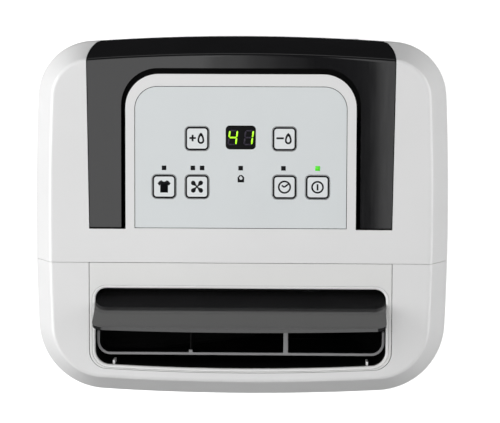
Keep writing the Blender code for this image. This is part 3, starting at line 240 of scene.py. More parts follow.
def rear_wall_y(x):
    return REAR_Y - REAR_BOW + math.sqrt(REAR_BOW ** 2 - x ** 2)


def front_wall_y(x):
    return FRONT_Y + FRONT_BOW - math.sqrt(FRONT_BOW ** 2 - x ** 2)


# ---- meshes --------------------------------------------------------
def to_object(name, bm, material=None):
    bmesh.ops.recalc_face_normals(bm, faces=bm.faces)
    mesh = bpy.data.meshes.new(name)
    bm.to_mesh(mesh)
    bm.free()
    mesh.shade_smooth()
    if material:
        mesh.materials.append(material)
    item = bpy.data.objects.new(name, mesh)
    bpy.context.scene.collection.objects.link(item)
    return item


def loft(name, rings, material=None, closed=False):
    bm = bmesh.new()
    loops = [[bm.verts.new(point) for point in ring] for ring in rings]
    pairs = list(zip(loops, loops[1:])) + ([(loops[-1], loops[0])] if closed else [])
    count = len(loops[0])
    for low, high in pairs:
        for i in range(count):
            bm.faces.new((low[i], low[(i + 1) % count], high[(i + 1) % count], high[i]))
    if not closed:
        bm.faces.new(list(reversed(loops[0])))
        bm.faces.new(loops[-1])
    return to_object(name, bm, material)


def prism(name, outline, low, high, material=None, axis="Z"):
    place = {
        "X": lambda p, d: (d, p[0], p[1]),
        "Y": lambda p, d: (p[0], d, p[1]),
        "Z": lambda p, d: (p[0], p[1], d),
    }[axis]
    return loft(name, [[place(p, d) for p in outline] for d in (low, high)], material)


def box(name, low, high, material=None):
    outline = [(low[0], low[1]), (high[0], low[1]), (high[0], high[1]), (low[0], high[1])]
    return prism(name, outline, low[2], high[2], material)


def turned(name, centre, profile, material=None, axis="Z", steps=48):
    place = {
        "X": lambda c, s, r, h: (h, centre[0] + r * c, centre[1] + r * s),
        "Y": lambda c, s, r, h: (centre[0] + r * c, h, centre[1] + r * s),
        "Z": lambda c, s, r, h: (centre[0] + r * c, centre[1] + r * s, h),
    }[axis]
    rings = []
    for i in range(steps):
        turn = 2 * math.pi * i / steps
        rings.append([place(math.cos(turn), math.sin(turn), r, h) for r, h in profile])
    return loft(name, rings, material, closed=True)


def combine(target, tool, operation):
    modifier = target.modifiers.new(operation, "BOOLEAN")
    modifier.operation = operation
    modifier.material_mode = "TRANSFER"
    modifier.object = tool
    bpy.context.view_layer.update()
    evaluated = target.evaluated_get(bpy.context.evaluated_depsgraph_get())
    result = bpy.data.meshes.new_from_object(evaluated)
    target.modifiers.clear()
    target.data = result
    bpy.data.objects.remove(tool)


def cut(target, *tools):
    for tool in tools:
        combine(target, tool, "DIFFERENCE")
    return target


def join(target, *tools):
    for tool in tools:
        combine(target, tool, "UNION")


def soften(item, width=0.4 * MM, angle=32, segments=2):
    """Rounds the hard edges slightly and keeps the flat faces flat under smooth shading."""
    bm = bmesh.new()
    bm.from_mesh(item.data)
    bmesh.ops.remove_doubles(bm, verts=bm.verts, dist=0.02 * MM)
    bmesh.ops.dissolve_degenerate(bm, edges=bm.edges, dist=0.02 * MM)
    bm.to_mesh(item.data)
    bm.free()
    item.data.shade_smooth()
    bevel = item.modifiers.new("soft_edges", "BEVEL")
    bevel.width = width
    bevel.segments = segments
    bevel.limit_method = "ANGLE"
    bevel.angle_limit = math.radians(angle)
    bevel.miter_outer = "MITER_ARC"
    normals = item.modifiers.new("flat_faces", "WEIGHTED_NORMAL")
    normals.weight = 100
    return item


def stand_for(piece, body, slot, *nodes):
    """Puts the piece under its body, and hides the CAD nodes that it stands for; the slot argument is not
    used.
    """
    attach(piece, body)
    if nodes:
        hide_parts(*nodes)


# ---- materials -----------------------------------------------------
class Shader:
    """A small helper round one Principled material's nodes."""

    def __init__(self, name, colour, roughness, metallic=0.0, ior=1.5):
        self.material = bpy.data.materials.new(name)
        self.material.use_nodes = True
        self.tree = self.material.node_tree
        self.main = self.tree.nodes["Principled BSDF"]
        self.main.inputs["Base Color"].default_value = (*colour, 1)
        self.main.inputs["Roughness"].default_value = roughness
        self.main.inputs["Metallic"].default_value = metallic
        self.main.inputs["IOR"].default_value = ior
        self.colour = colour
        self.coordinates = self.tree.nodes.new("ShaderNodeTexCoord").outputs["Object"]
        self.normal = None

    def noise(self, scale, detail=2.0, roughness=0.5, stretch=None):
        node = self.tree.nodes.new("ShaderNodeTexNoise")
        node.inputs["Scale"].default_value = scale
        node.inputs["Detail"].default_value = detail
        node.inputs["Roughness"].default_value = roughness
        source = self.coordinates
        if stretch:
            mapping = self.tree.nodes.new("ShaderNodeMapping")
            mapping.inputs["Scale"].default_value = stretch
            self.tree.links.new(source, mapping.inputs["Vector"])
            source = mapping.outputs["Vector"]
        self.tree.links.new(source, node.inputs["Vector"])
        return node.outputs["Fac"]

    def spread(self, value, low, high, start=0.3, end=0.7):
        node = self.tree.nodes.new("ShaderNodeMapRange")
        node.inputs["From Min"].default_value = start
        node.inputs["From Max"].default_value = end
        node.inputs["To Min"].default_value = low
        node.inputs["To Max"].default_value = high
        self.tree.links.new(value, node.inputs["Value"])
        return node.outputs["Result"]

    def vary_colour(self, value, low, high):
        """Scales the colour between low and high by a texture's value."""
        mix = self.tree.nodes.new("ShaderNodeMix")
        mix.data_type = "RGBA"
        mix.inputs["A"].default_value = (*[c * low for c in self.colour], 1)
        mix.inputs["B"].default_value = (*[min(c * high, 1) for c in self.colour], 1)
        self.tree.links.new(self.spread(value, 0, 1), mix.inputs["Factor"])
        self.tree.links.new(mix.outputs["Result"], self.main.inputs["Base Color"])
        return self

    def vary_roughness(self, value, low, high):
        self.tree.links.new(self.spread(value, low, high), self.main.inputs["Roughness"])
        return self

    def bump(self, value, distance, strength=1.0):
        node = self.tree.nodes.new("ShaderNodeBump")
        node.inputs["Distance"].default_value = distance
        node.inputs["Strength"].default_value = strength
        self.tree.links.new(value, node.inputs["Height"])
        if self.normal:
            self.tree.links.new(self.normal, node.inputs["Normal"])
        self.normal = node.outputs["Normal"]
        self.tree.links.new(self.normal, self.main.inputs["Normal"])
        return self


def moulded(name, colour, roughness, grain=2600, depth=0.012 * MM):
    """Moulded plastic: a very fine grain, faint clouding and slightly uneven gloss."""
    shader = Shader(name, colour, roughness)
    cloud = shader.noise(14, 3)
    shader.vary_colour(cloud, 0.985, 1.012)
    shader.vary_roughness(shader.noise(60, 3), roughness * 0.9, roughness * 1.12)
    shader.bump(shader.noise(grain, 2), depth, 0.5)
    return shader.material


def dull(name, colour, roughness):
    """Near-black matt plastic inside openings, with a coarse grain and hardly any sheen; the lining copy is
    painted shade.
    """
    shader = Shader(name, colour, roughness)
    shader.main.inputs["Specular IOR Level"].default_value = 0.12
    shader.vary_colour(shader.noise(40, 3), 0.8, 1.2)
    shader.bump(shader.noise(1200, 2), 0.04 * MM, 0.5)
    return shader.material


def glossy(name, colour, roughness, ior=1.5):
    """Polished plastic: slow waviness, hair-fine scuffs and a touch of uneven gloss."""
    shader = Shader(name, colour, roughness, ior=ior)
    shader.vary_colour(shader.noise(25, 2), 0.9, 1.1)
    scuffs = shader.noise(420, 3, 0.6, (1, 0.06, 1))
    shader.vary_roughness(scuffs, roughness * 0.8, roughness * 1.6)
    shader.bump(shader.noise(38, 1), 0.02 * MM, 0.25)
    return shader.material


def printed(name, colour, roughness=0.45):
    """Screen-printed ink: slightly broken in tone, with the tooth of the film under it."""
    shader = Shader(name, colour, roughness)
    shader.main.inputs["Specular IOR Level"].default_value = 0.1
    shader.vary_colour(shader.noise(900, 2), 0.85, 1.15)
    shader.bump(shader.noise(5000, 2), 0.004 * MM, 0.4)
    return shader.material


def lit(name, colour, strength):
    shader = Shader(name, colour, 0.3)
    shader.vary_colour(shader.noise(300, 2), 0.92, 1.05)
    shader.main.inputs["Emission Color"].default_value = (*colour, 1)
    shader.main.inputs["Emission Strength"].default_value = strength
    return shader.material


def metal(name, colour, roughness):
    shader = Shader(name, colour, roughness, metallic=1.0)
    lines = shader.noise(500, 2, 0.6, (1, 1, 40))
    shader.vary_roughness(lines, roughness * 0.75, roughness * 1.3)
    shader.vary_colour(shader.noise(40, 3), 0.92, 1.06)
    shader.bump(lines, 0.01 * MM, 0.4)
    return shader.material


def rubbery(name, colour, roughness=0.7):
    shader = Shader(name, colour, roughness)
    shader.vary_colour(shader.noise(90, 4), 0.85, 1.2)
    shader.vary_roughness(shader.noise(200, 3), roughness * 0.85, roughness * 1.1)
    shader.bump(shader.noise(1500, 3), 0.03 * MM, 0.5)
    return shader.material


def clear_plastic(name, colour, roughness, transmission):
    shader = Shader(name, colour, roughness)
    shader.vary_colour(shader.noise(18, 3), 0.95, 1.04)
    shader.vary_roughness(shader.noise(120, 3), roughness * 0.8, roughness * 1.3)
    shader.main.inputs["Transmission Weight"].default_value = transmission
    return shader.material


WHITE = moulded("casing_white", (0.88, 0.88, 0.88), 0.36)
RIM_WHITE = moulded("outlet_white", (0.87, 0.87, 0.86), 0.34)
# painted highlight: the lip and nubs are the casing's white plastic, painted brighter for the light they
# catch
PAINTED_HIGHLIGHT_WHITE = moulded("outlet_lip", (0.95, 0.95, 0.945), 0.25)
HANDLE_BLACK = glossy("handle_black", (0.011, 0.011, 0.012), 0.05)
FLAP_BLACK = glossy("flap_black", (0.021, 0.021, 0.022), 0.07, 1.85)
LABEL_PALE = moulded("label_film", (0.80, 0.835, 0.845), 0.42, 5200, 0.006 * MM)
KEY_PALE = moulded("key_film", (0.88, 0.91, 0.92), 0.38, 5200, 0.006 * MM)
INK = printed("black_ink", (0.008, 0.008, 0.009))
WINDOW_BLACK = printed("window_black", (0.003, 0.003, 0.0035), 0.2)
SEGMENT_ON = lit("segment_lit", (0.38, 0.85, 0.02), 1.0)
SEGMENT_OFF = printed("segment_unlit", (0.05, 0.042, 0.062), 0.3)
LAMP_ON = lit("lamp_lit", (0.07, 0.62, 0.012), 0.45)
GRID_GREY = moulded("grid_grey", (0.33, 0.33, 0.335), 0.35, 1800, 0.02 * MM)
BASE_GREY = moulded("base_grey", (0.20, 0.20, 0.208), 0.5, 1400, 0.05 * MM)
INNER_GREY = moulded("inner_grey", (0.28, 0.28, 0.29), 0.5, 1200, 0.05 * MM)
# painted shade: this near-black stands in for the shade on the channel walls, in the outlet well and on the
# guard's sides
PAINTED_SHADE_BLACK = dull("painted_shade_black", (0.006, 0.006, 0.006), 0.6)
DUCT_BLACK = dull("duct_black", (0.005, 0.005, 0.005), 0.7)
BLACK_PLASTIC = moulded("black_plastic", (0.02, 0.02, 0.021), 0.45, 1500, 0.04 * MM)
WHEEL_GREY = rubbery("caster_tread", (0.085, 0.085, 0.09))
GROMMET = rubbery("grommet_rubber", (0.015, 0.015, 0.015))
STEEL = metal("steel", (0.56, 0.56, 0.57), 0.3)
MOTOR_STEEL = metal("motor_steel", (0.5, 0.5, 0.51), 0.4)
ALUMINIUM = metal("coil_aluminium", (0.78, 0.79, 0.80), 0.35)
COPPER = metal("copper", (0.78, 0.38, 0.22), 0.28)
ENAMEL = glossy("compressor_enamel", (0.015, 0.015, 0.015), 0.3)
TANK_CLEAR = clear_plastic("tank_clear", (0.62, 0.70, 0.74), 0.18, 0.6)
TRAY_WHITE = moulded("tray_white", (0.6, 0.6, 0.6), 0.45, 1500, 0.03 * MM)
BOARD_GREEN = printed("board_green", (0.01, 0.12, 0.04), 0.35)
NET = rubbery("filter_net", (0.05, 0.055, 0.07), 0.8)


# ---- casing --------------------------------------------------------
def casing_rings(profile):
    return [[(x, y, z) for x, y in casing_outline(inset)] for inset, z in profile]


def casing_block(name, bottom, material=None):
    profile = fillet(
        [(0, bottom), (0, TOP - BAND_HEIGHT), (BAND_WIDTH, TOP), (BAND_WIDTH + 10 * MM, TOP)],
        [14 * MM, 4 * MM])
    return loft(name, casing_rings(profile), material)


def casing_core(name, inset, bottom, drop, band_inset):
    profile = [
        (inset, bottom),
        (inset, TOP - BAND_HEIGHT - drop / 4),
        (BAND_WIDTH + band_inset, TOP - drop),
    ]
    return loft(name, casing_rings(profile))


def far_box(name, y_low, y_high, z_low, z_high):
    reach = HALF_WIDTH + 20 * MM
    return box(name, (-reach, y_low, z_low), (reach, y_high, z_high))


def channel_tool(name, grow, bottom, core_inset, core_drop):
    tool = prism(
        name,
        u_outline(
            HANDLE_OUTER_FRONT + CHANNEL_SIDE_GAP + grow, HANDLE_OUTER_REAR, ISLAND_HALF - grow,
            CHANNEL_FRONT_Y - grow, ISLAND_REAR_Y - grow, ISLAND_CORNER - grow, CHANNEL_SIDE_GAP + grow),
        bottom, TOP + 2 * MM)
    return cut(tool, casing_core("core", core_inset, bottom - 10 * MM, core_drop, core_inset * 0.7))


def key_outline(node, grow=0.0):
    low, high = corners(node)
    middle, half = (low + high) / 2, (high - low) / 2
    return rounded_box(half.x + grow, half.y + grow, KEY_CORNER + grow, middle.xy)


def light_places():
    """The middles of the light pipes, from the strip's ends and the two beside the fan key."""
    left, right = LIGHT_LOW.x + 4 * MM, LIGHT_HIGH.x - 4 * MM
    fan, timer = centre_of("key_fan").x, centre_of("key_timer").x
    return [left, fan - 3.4 * MM, fan + 4.1 * MM, 0.0, timer - 0.9 * MM, right]


LIGHT_Y = (LIGHT_LOW.y + LIGHT_HIGH.y) / 2
LIGHT_HALF = 1.7 * MM


def make_cover():
    cover = casing_block("cover_shell", COVER_SPLIT, WHITE)
    room = casing_core("room", WALL, COVER_SPLIT - 1 * MM, TOP_WALL, 1.6 * MM)
    cut(room, channel_tool("channel_wall", 2.6 * MM, TOP - 35 * MM, 10.6 * MM, CHANNEL_DEPTH + 2.6 * MM))
    cut(cover, room)
    cut(cover, channel_tool("channel_rim", 0, TOP - 31.5 * MM, 1.2 * MM, CHANNEL_RIM))
    # painted shade: below the white rim the channel walls take the near-black, standing in for the shade in
    # the gap round the handle
    channel = channel_tool("channel", 0.05 * MM, TOP - 31.5 * MM, 8 * MM, CHANNEL_DEPTH)
    below_rim = casing_core("below_rim", 1.1 * MM, TOP - 60 * MM, CHANNEL_RIM - 0.1 * MM, 0.7 * MM)
    combine(channel, below_rim, "INTERSECT")
    channel.data.materials.clear()
    channel.data.materials.append(PAINTED_SHADE_BLACK)
    cut(cover, channel)
    cut(cover, far_box("front_half", FRONT_Y - 20 * MM, COVER_LOW.y, COVER_SPLIT - 9 * MM, TOP + 9 * MM))
    cut(cover, prism("label_seat", label_outline(0.5 * MM), LABEL_LOW.z - 0.3 * MM, TOP + 1 * MM))
    for node in KEY_NODES:
        cut(cover, prism("key_hole", key_outline(node, KEY_GAP), TOP - 9 * MM, TOP))
    stand_for(soften(cover, 0.5 * MM), "casing", "casing_white", "top_cover")


def make_front():
    shell = casing_block("front_casing", FRONT_LOW.z, WHITE)
    cut(shell, casing_core("room", WALL, FRONT_LOW.z - 1 * MM, TOP_WALL, 1.6 * MM))
    cut(shell, far_box("rear_half", FRONT_HIGH.y, REAR_Y + 20 * MM, FRONT_LOW.z - 2 * MM, TOP + 9 * MM))
    hole = bowed_opening(OUTLET_HIGH.x + 0.3 * MM, FRONT_HIGH.y + 10 * MM, FRAME_INSET - 0.3 * MM,
                         FRAME_CORNER + 0.3 * MM)
    cut(shell, prism("frame_hole", hole, TOP - 9 * MM, TOP + 1 * MM))
    bay = rounded_box(PANEL_HIGH.x + 0.6 * MM, (PANEL_HIGH.z - PANEL_LOW.z) / 2 + 1.3 * MM, 7 * MM,
                      (0, (PANEL_HIGH.z + PANEL_LOW.z) / 2 - 0.7 * MM))
    cut(shell, prism("bay", bay, FRONT_Y - 5 * MM, FRONT_Y + 28 * MM, axis="Y"))
    stand_for(soften(shell, 0.5 * MM), "casing", "casing_white", "front_shell")


def make_rear():
    shell = prism("rear_casing", casing_outline(0), SHELL_LOW.z, SHELL_HIGH.z, WHITE)
    cut(shell, prism("room", casing_outline(WALL), SHELL_LOW.z - 1 * MM, SHELL_HIGH.z + 1 * MM))
    cut(shell, far_box("front_half", FRONT_Y - 20 * MM, SHELL_LOW.y, 0, TOP))
    hole = rounded_box(GRILLE_HIGH.x + 0.6 * MM, (GRILLE_HIGH.z - GRILLE_LOW.z) / 2 + 0.6 * MM, 6.6 * MM,
                       (0, (GRILLE_HIGH.z + GRILLE_LOW.z) / 2))
    cut(shell, prism("intake", hole, 120 * MM, 160 * MM, axis="Y"))
    for node, radius in (("cord_inlet", 8.3 * MM), ("drain_cap", 6 * MM)):
        middle = centre_of(node)
        cut(shell, prism("hole", circle(middle.xz, radius), 120 * MM, 160 * MM, axis="Y"))
    stand_for(soften(shell, 0.5 * MM), "casing", "casing_white", "rear_shell")


def make_tray():
    tray = prism("base_plinth", casing_outline(1.2 * MM), TRAY_LOW.z, FRONT_LOW.z - 0.3 * MM, BASE_GREY)
    cut(tray, prism("room", casing_outline(4.2 * MM), TRAY_LOW.z + 4 * MM, FRONT_LOW.z + 1 * MM))
    for name in CASTER_CORNERS:
        low, high = corners("caster_fork_" + name)
        place = ((low.x + high.x) / 2, low.y + 11 * MM)
        cut(tray, prism("socket", circle(place, 3.9 * MM, 24), TRAY_LOW.z - 1 * MM, TRAY_LOW.z + 14 * MM))
    for side in (-1, 1):
        x = side * 84 * MM
        join(tray, box("rail", (x - 4 * MM, -132 * MM, TRAY_LOW.z + 1 * MM),
                       (x + 4 * MM, -26 * MM, TRAY_HIGH.z)))
    stand_for(soften(tray, 0.8 * MM), "casing", "base_grey", "base_tray")


# ---- handle --------------------------------------------------------
def make_handle():
    outline = u_outline(HANDLE_OUTER_FRONT, HANDLE_OUTER_REAR, HANDLE_INNER, HANDLE_FRONT_Y, HANDLE_BAR_Y,
                        HANDLE_INNER_CORNER)
    handle = casing_block("handle_bow", COVER_SPLIT, HANDLE_BLACK)
    combine(handle, prism("plan", outline, TOP - BAND_HEIGHT, TOP + 1 * MM), "INTERSECT")
    cut(handle, casing_core("under", 6.4 * MM, TOP - 60 * MM, HANDLE_THICK, 5 * MM))
    reach = math.hypot(PIVOT_Y - HANDLE_FRONT_Y, TOP - PIVOT_Z)
    start = math.atan2(TOP - PIVOT_Z, HANDLE_FRONT_Y - PIVOT_Y)
    round_end = arc((PIVOT_Y, PIVOT_Z), reach, start, 1.5 * math.pi, 16) + [(PIVOT_Y, PIVOT_Z - reach)]
    low = (PIVOT_Y - 20 * MM, TOP - 20 * MM)
    relief = [low, (low[0], round_end[0][1])] + round_end + [(PIVOT_Y, low[1])]
    cut(handle, prism("relief", relief, -HALF_WIDTH, HALF_WIDTH, axis="X"))
    cut(handle, prism("bore", circle((PIVOT_Y, PIVOT_Z), 2.3 * MM, 20), -HALF_WIDTH, HALF_WIDTH, axis="X"))
    stand_for(soften(handle, 0.7 * MM, segments=3), "handle", "handle_black", "carry_handle")


# ---- outlet --------------------------------------------------------
def mouth_outline(grow):
    return bowed_opening(OUTLET_HALF + grow, OUTLET_REAR_Y + grow, OUTLET_INSET - grow, OUTLET_CORNER + grow,
                         OUTLET_REAR_CORNER + grow)


def make_outlet():
    """The outlet frame: its plate, the lip round the mouth painted brighter as highlight, and the well below
    it painted black as shade.
    """
    plate = bowed_opening(OUTLET_HIGH.x - 0.2 * MM, OUTLET_HIGH.y - 0.1 * MM, FRAME_INSET, FRAME_CORNER)
    surround = prism("outlet_surround", plate, TOP - TOP_WALL, TOP, RIM_WHITE)
    cut(surround, prism("lip_seat", mouth_outline(LIP), TOP - 9 * MM, TOP + 1 * MM))
    stand_for(soften(surround, 0.2 * MM), "casing", "casing_white", "outlet_frame")

    # painted highlight: the rounded lip bead is painted brighter than the frame
    inner = LIP - 0.15 * MM
    low, high = TOP - 4 * MM, TOP - 0.1 * MM
    profile = fillet([(0, low), (0, TOP - 0.9 * MM), (1.1 * MM, high), (inner, high), (inner, low)],
                     [0.6 * MM, 0.8 * MM, 0.4 * MM], 5)
    rings = [[(x, y, z) for x, y in mouth_outline(grow)] for grow, z in profile]
    lip = loft("outlet_lip", rings, PAINTED_HIGHLIGHT_WHITE, closed=True)
    stand_for(soften(lip, 0.05 * MM, 60), "casing", "casing_white")

    # painted shade: the well's walls are near-black for the shade inside the mouth, though the frame is white
    # plastic
    liner = prism("outlet_shade_liner", mouth_outline(FRAME_WALL), OUTLET_LOW.z, TOP - 4 * MM, PAINTED_SHADE_BLACK)
    cut(liner, prism("room", mouth_outline(0), OUTLET_LOW.z - 1 * MM, TOP))
    for side in (-1, 1):
        ends = sorted((side * 112 * MM, side * 124 * MM))
        cut(liner, prism("pin_hole", circle(FLAP_PIVOT.yz, 2.8 * MM, 20), *ends, axis="X"))
    stand_for(soften(liner, 0.2 * MM), "casing", "casing_white")
    for name, side in (("left", -1), ("right", 1)):
        x = side * 103.5 * MM
        front = front_wall_y(x) + OUTLET_INSET
        outline = [(x - 0.9 * MM, front - 0.6 * MM), (x + 0.9 * MM, front - 0.6 * MM),
                   (x + 0.9 * MM, front + 3.2 * MM), (x - 0.9 * MM, front + 3.2 * MM)]
        # painted highlight: the nub is painted brighter white where it catches the light
        nub = prism("outlet_nub_" + name, outline, TOP - 20 * MM, TOP - 5 * MM, PAINTED_HIGHLIGHT_WHITE)
        stand_for(soften(nub, 0.3 * MM), "casing", "casing_white")


FLAP_OPEN = math.radians(67)
FLAP_PIVOT = Vector((0, -72.5 * MM, TOP - 7.9 * MM))
FLAP_HALF = 117.8 * MM


def make_flap():
    outline = bowed_opening(FLAP_HALF, -59 * MM, 28 * MM, 8 * MM, 8 * MM)
    top = TOP - 1.5 * MM
    thick = 2.8 * MM
    flap = prism("flap_blade", outline, top - thick, top, FLAP_BLACK)
    for side in (-1, 1):
        inner, outer = sorted((side * FLAP_HALF, side * (FLAP_HALF - 2.4 * MM)))
        ear = arc(FLAP_PIVOT.yz, 4.2 * MM, math.pi, 2 * math.pi, 14)
        ear += [(FLAP_PIVOT.y + 4.2 * MM, FLAP_PIVOT.z), (FLAP_PIVOT.y + 6 * MM, top - 1 * MM),
                (FLAP_PIVOT.y - 12 * MM, top - 1 * MM)]
        join(flap, prism("ear", ear, inner, outer, axis="X"))
        ends = sorted((side * (FLAP_HALF - 1 * MM), side * 121.5 * MM))
        join(flap, prism("pin", circle(FLAP_PIVOT.yz, 2.5 * MM, 20), *ends, axis="X"))
    turn = Matrix.Rotation(-FLAP_OPEN, 4, "X")
    flap.data.transform(Matrix.Translation(FLAP_PIVOT) @ turn @ Matrix.Translation(-FLAP_PIVOT))
    stand_for(soften(flap, 0.5 * MM, 40, 3), "flap", "flap_black", "outlet_flap")


def make_grid():
    """The guard under the flap: a grey rail with a wide rib and a lug, on a frame with a thin blade that is
    painted black as shade below the rail's grey top.
    """
    half, bar, corner = GRID_HIGH.x, 2.2 * MM, 11 * MM
    rear_y, front_y = GRID_HIGH.y, GRID_LOW.y + 1.1 * MM
    top, dipped, bottom, split = GRID_HIGH.z, TOP - 27 * MM, GRID_LOW.z, GRID_HIGH.z - 1.6 * MM
    centre, half_y = (0, (front_y + rear_y) / 2), (rear_y - front_y) / 2
    outer = rounded_box(half, half_y, corner, centre)
    inner = rounded_box(half - bar, half_y - bar, corner - bar, centre)
    # painted shade: the guard is grey only on its top, and painted black below it where it lies in shade
    rail = prism("guard_rail", outer, split, top, GRID_GREY)
    painted_shade_frame = prism("guard_frame_painted_shade", outer, bottom, split, PAINTED_SHADE_BLACK)
    over = [(rear_y + 9 * MM, dipped), (rear_y + 9 * MM, top + 9 * MM), (-94 * MM, top + 9 * MM),
            (-94 * MM, top), (-84 * MM, dipped)]
    for item in (rail, painted_shade_frame):
        cut(item, prism("inside", inner, bottom - 1 * MM, top + 1 * MM))
    rib_x, blade_x = 37 * MM, -41 * MM
    first, last = front_y + 1 * MM, rear_y - 1 * MM
    join(rail, box("rib", (rib_x - 1.9 * MM, first, split), (rib_x + 1.9 * MM, last, top)),
         box("lug", (blade_x - 1.5 * MM, first, split), (blade_x + 1.5 * MM, front_y + 4.4 * MM, top)))
    blade = [(blade_x - 1.4 * MM, bottom), (blade_x + 1.4 * MM, bottom), (blade_x + 0.5 * MM, split),
             (blade_x - 0.5 * MM, split)]
    join(painted_shade_frame, prism("blade", blade, first, last, axis="Y"),
         box("rib_below", (rib_x - 1.6 * MM, first, bottom), (rib_x + 1.6 * MM, last, split)))
    for item in (rail, painted_shade_frame):
        cut(item, prism("over", over, -HALF_WIDTH, HALF_WIDTH, axis="X"))
    stand_for(soften(painted_shade_frame, 0.25 * MM), "casing", "grid_grey", "outlet_grid")
    stand_for(soften(rail, 0.4 * MM), "casing", "grid_grey")


# ---- control panel -------------------------------------------------
PRINT = 0.05 * MM            # how far a print stands proud


def make_label():
    label = prism("label_plate", label_outline(), LABEL_LOW.z, LABEL_HIGH.z, LABEL_PALE)
    low, high = LABEL_LOW.z - 1 * MM, LABEL_HIGH.z + 1 * MM
    for node in KEY_NODES:
        cut(label, prism("key_hole", key_outline(node, KEY_GAP), low, high))
    middle, half = (WINDOW_LOW + WINDOW_HIGH) / 2, (WINDOW_HIGH - WINDOW_LOW) / 2
    window = rounded_box(half.x + 0.3 * MM, half.y + 0.3 * MM, 3.3 * MM, middle.xy)
    cut(label, prism("window_hole", window, low, high))
    for x in light_places():
        reach = LIGHT_HALF + 0.15 * MM
        cut(label, box("light_hole", (x - reach, LIGHT_Y - reach, low), (x + reach, LIGHT_Y + reach, high)))
    stand_for(soften(label, 0.12 * MM), "casing", "label_pale", "control_label")


def printed_shape(name, outline, top, body, slot, material=None):
    """A flat print: an outline a hair thicker than the surface it lies on."""
    item = prism(name, outline, top - PRINT, top + PRINT, material or INK)
    stand_for(item, body, slot)


def printed_ring(name, outer, inner, top, body, slot):
    """A print between two outlines of equal point counts."""
    rings = [[(*p, z) for p in line] for line, z in
             ((outer, top - PRINT), (outer, top + PRINT), (inner, top + PRINT), (inner, top - PRINT))]
    stand_for(loft(name, rings, INK, closed=True), body, slot)


def drop_outline(centre, half_width, low, high):
    """A water drop: a round belly that runs up to a point."""
    points = []
    steps = 24
    belly = low + half_width
    for i in range(steps + 1):
        angle = -math.pi / 2 + math.pi * i / steps
        lift = max(math.sin(angle), 0) ** 1.6
        x = half_width * math.cos(angle) ** (1 + 0.35 * lift)
        if angle < 0:
            y = belly + half_width * math.sin(angle)
        else:
            y = belly + (high - belly) * math.sin(angle) ** 1.15
        points.append((x, y))
    left = [(-x, y) for x, y in reversed(points[1:-1])]
    return [(centre[0] + x, centre[1] + y) for x, y in points + left]


def shirt_outline(centre, unit):
    right = [(0, -0.95), (0.6, -0.95), (0.6, 0.25), (0.76, 0.12), (1.0, 0.48), (0.66, 0.86), (0.36, 0.94),
             (0.26, 0.8), (0.0, 0.72)]
    left = [(-x, y) for x, y in reversed(right[1:-1])]
    return [(centre[0] + x * unit, centre[1] + y * unit) for x, y in right + left]


def blade_outline(centre, unit, turn):
    """One rounded paddle of the fan icon."""
    shape = [(0.0, 0.12), (0.14, 0.28), (0.2, 0.52), (0.26, 0.8), (0.5, 0.98), (0.8, 0.94), (0.98, 0.72),
             (0.94, 0.44), (0.74, 0.28), (0.46, 0.2), (0.24, 0.08), (0.1, 0.0)]
    c, s = math.cos(turn), math.sin(turn)
    return [(centre[0] + unit * (x * c - y * s), centre[1] + unit * (x * s + y * c)) for x, y in shape]


def bar_outline(start, end, width):
    a, b = Vector(start), Vector(end)
    side = Vector((a.y - b.y, b.x - a.x)).normalized() * width / 2
    return [tuple(a - side), tuple(b - side), tuple(b + side), tuple(a + side)]


def make_key(node, icon):
    low, high = corners(node)
    middle = (low + high) / 2
    top = high.z
    face = fillet([(0.0, top - 3.6 * MM), (0.0, top), (1 * MM, top)], [0.35 * MM], 4)
    rings = [[(x, y, z) for x, y in key_outline(node, -inset)] for inset, z in face]
    cap = loft(node + "_cap", rings, KEY_PALE)
    join(cap, prism("stem", circle(middle.xy, 3 * MM, 24), low.z, top - 2 * MM))
    stand_for(cap, node, "key_pale", node)
    line = 1.45 * MM
    edge = 0.25 * MM
    rim = [key_outline(node, -inset) for inset in (edge, edge + line)]
    printed_ring(node + "_border", *rim, top, node, "key_pale")
    icon(node, Vector(middle.xy), top)


ICON_LINE = 1.5 * MM


def drop_icon(node, at, top):
    outer = drop_outline(at, 2.7 * MM, -4.5 * MM, 4.5 * MM)
    inner = drop_outline(at, 1.3 * MM, -3.0 * MM, 1.9 * MM)
    printed_ring(node + "_drop", outer, inner, top, node, "key_pale")


def plus_icon(node, at, top):
    left = at + Vector((-3.6, 0.4)) * MM
    reach = 2.6 * MM
    half = ICON_LINE / 2
    cross = [(half, half), (half, reach), (-half, reach), (-half, half), (-reach, half), (-reach, -half),
             (-half, -half), (-half, -reach), (half, -reach), (half, -half), (reach, -half), (reach, half)]
    printed_shape(node + "_plus", [(left.x + x, left.y + y) for x, y in cross], top, node, "key_pale")
    drop_icon(node, at + Vector((3.1, 0.2)) * MM, top)


def minus_icon(node, at, top):
    left = at + Vector((-3.5, 0.5)) * MM
    reach = Vector((3.0, 0)) * MM
    printed_shape(node + "_minus", bar_outline(left - reach, left + reach, ICON_LINE), top, node, "key_pale")
    drop_icon(node, at + Vector((3.1, 0.2)) * MM, top)


def shirt_icon(node, at, top):
    outline = shirt_outline(at + Vector((0, 0.1)) * MM, 5.25 * MM)
    printed_shape(node + "_shirt", outline, top, node, "key_pale")


def fan_icon(node, at, top):
    for i in range(4):
        outline = blade_outline(at, 5.0 * MM, math.pi / 2 * i)
        printed_shape(f"{node}_blade_{i + 1}", outline, top, node, "key_pale")
    printed_shape(node + "_hub", circle(at, 0.9 * MM, 20), top + 0.01 * MM, node, "key_pale")


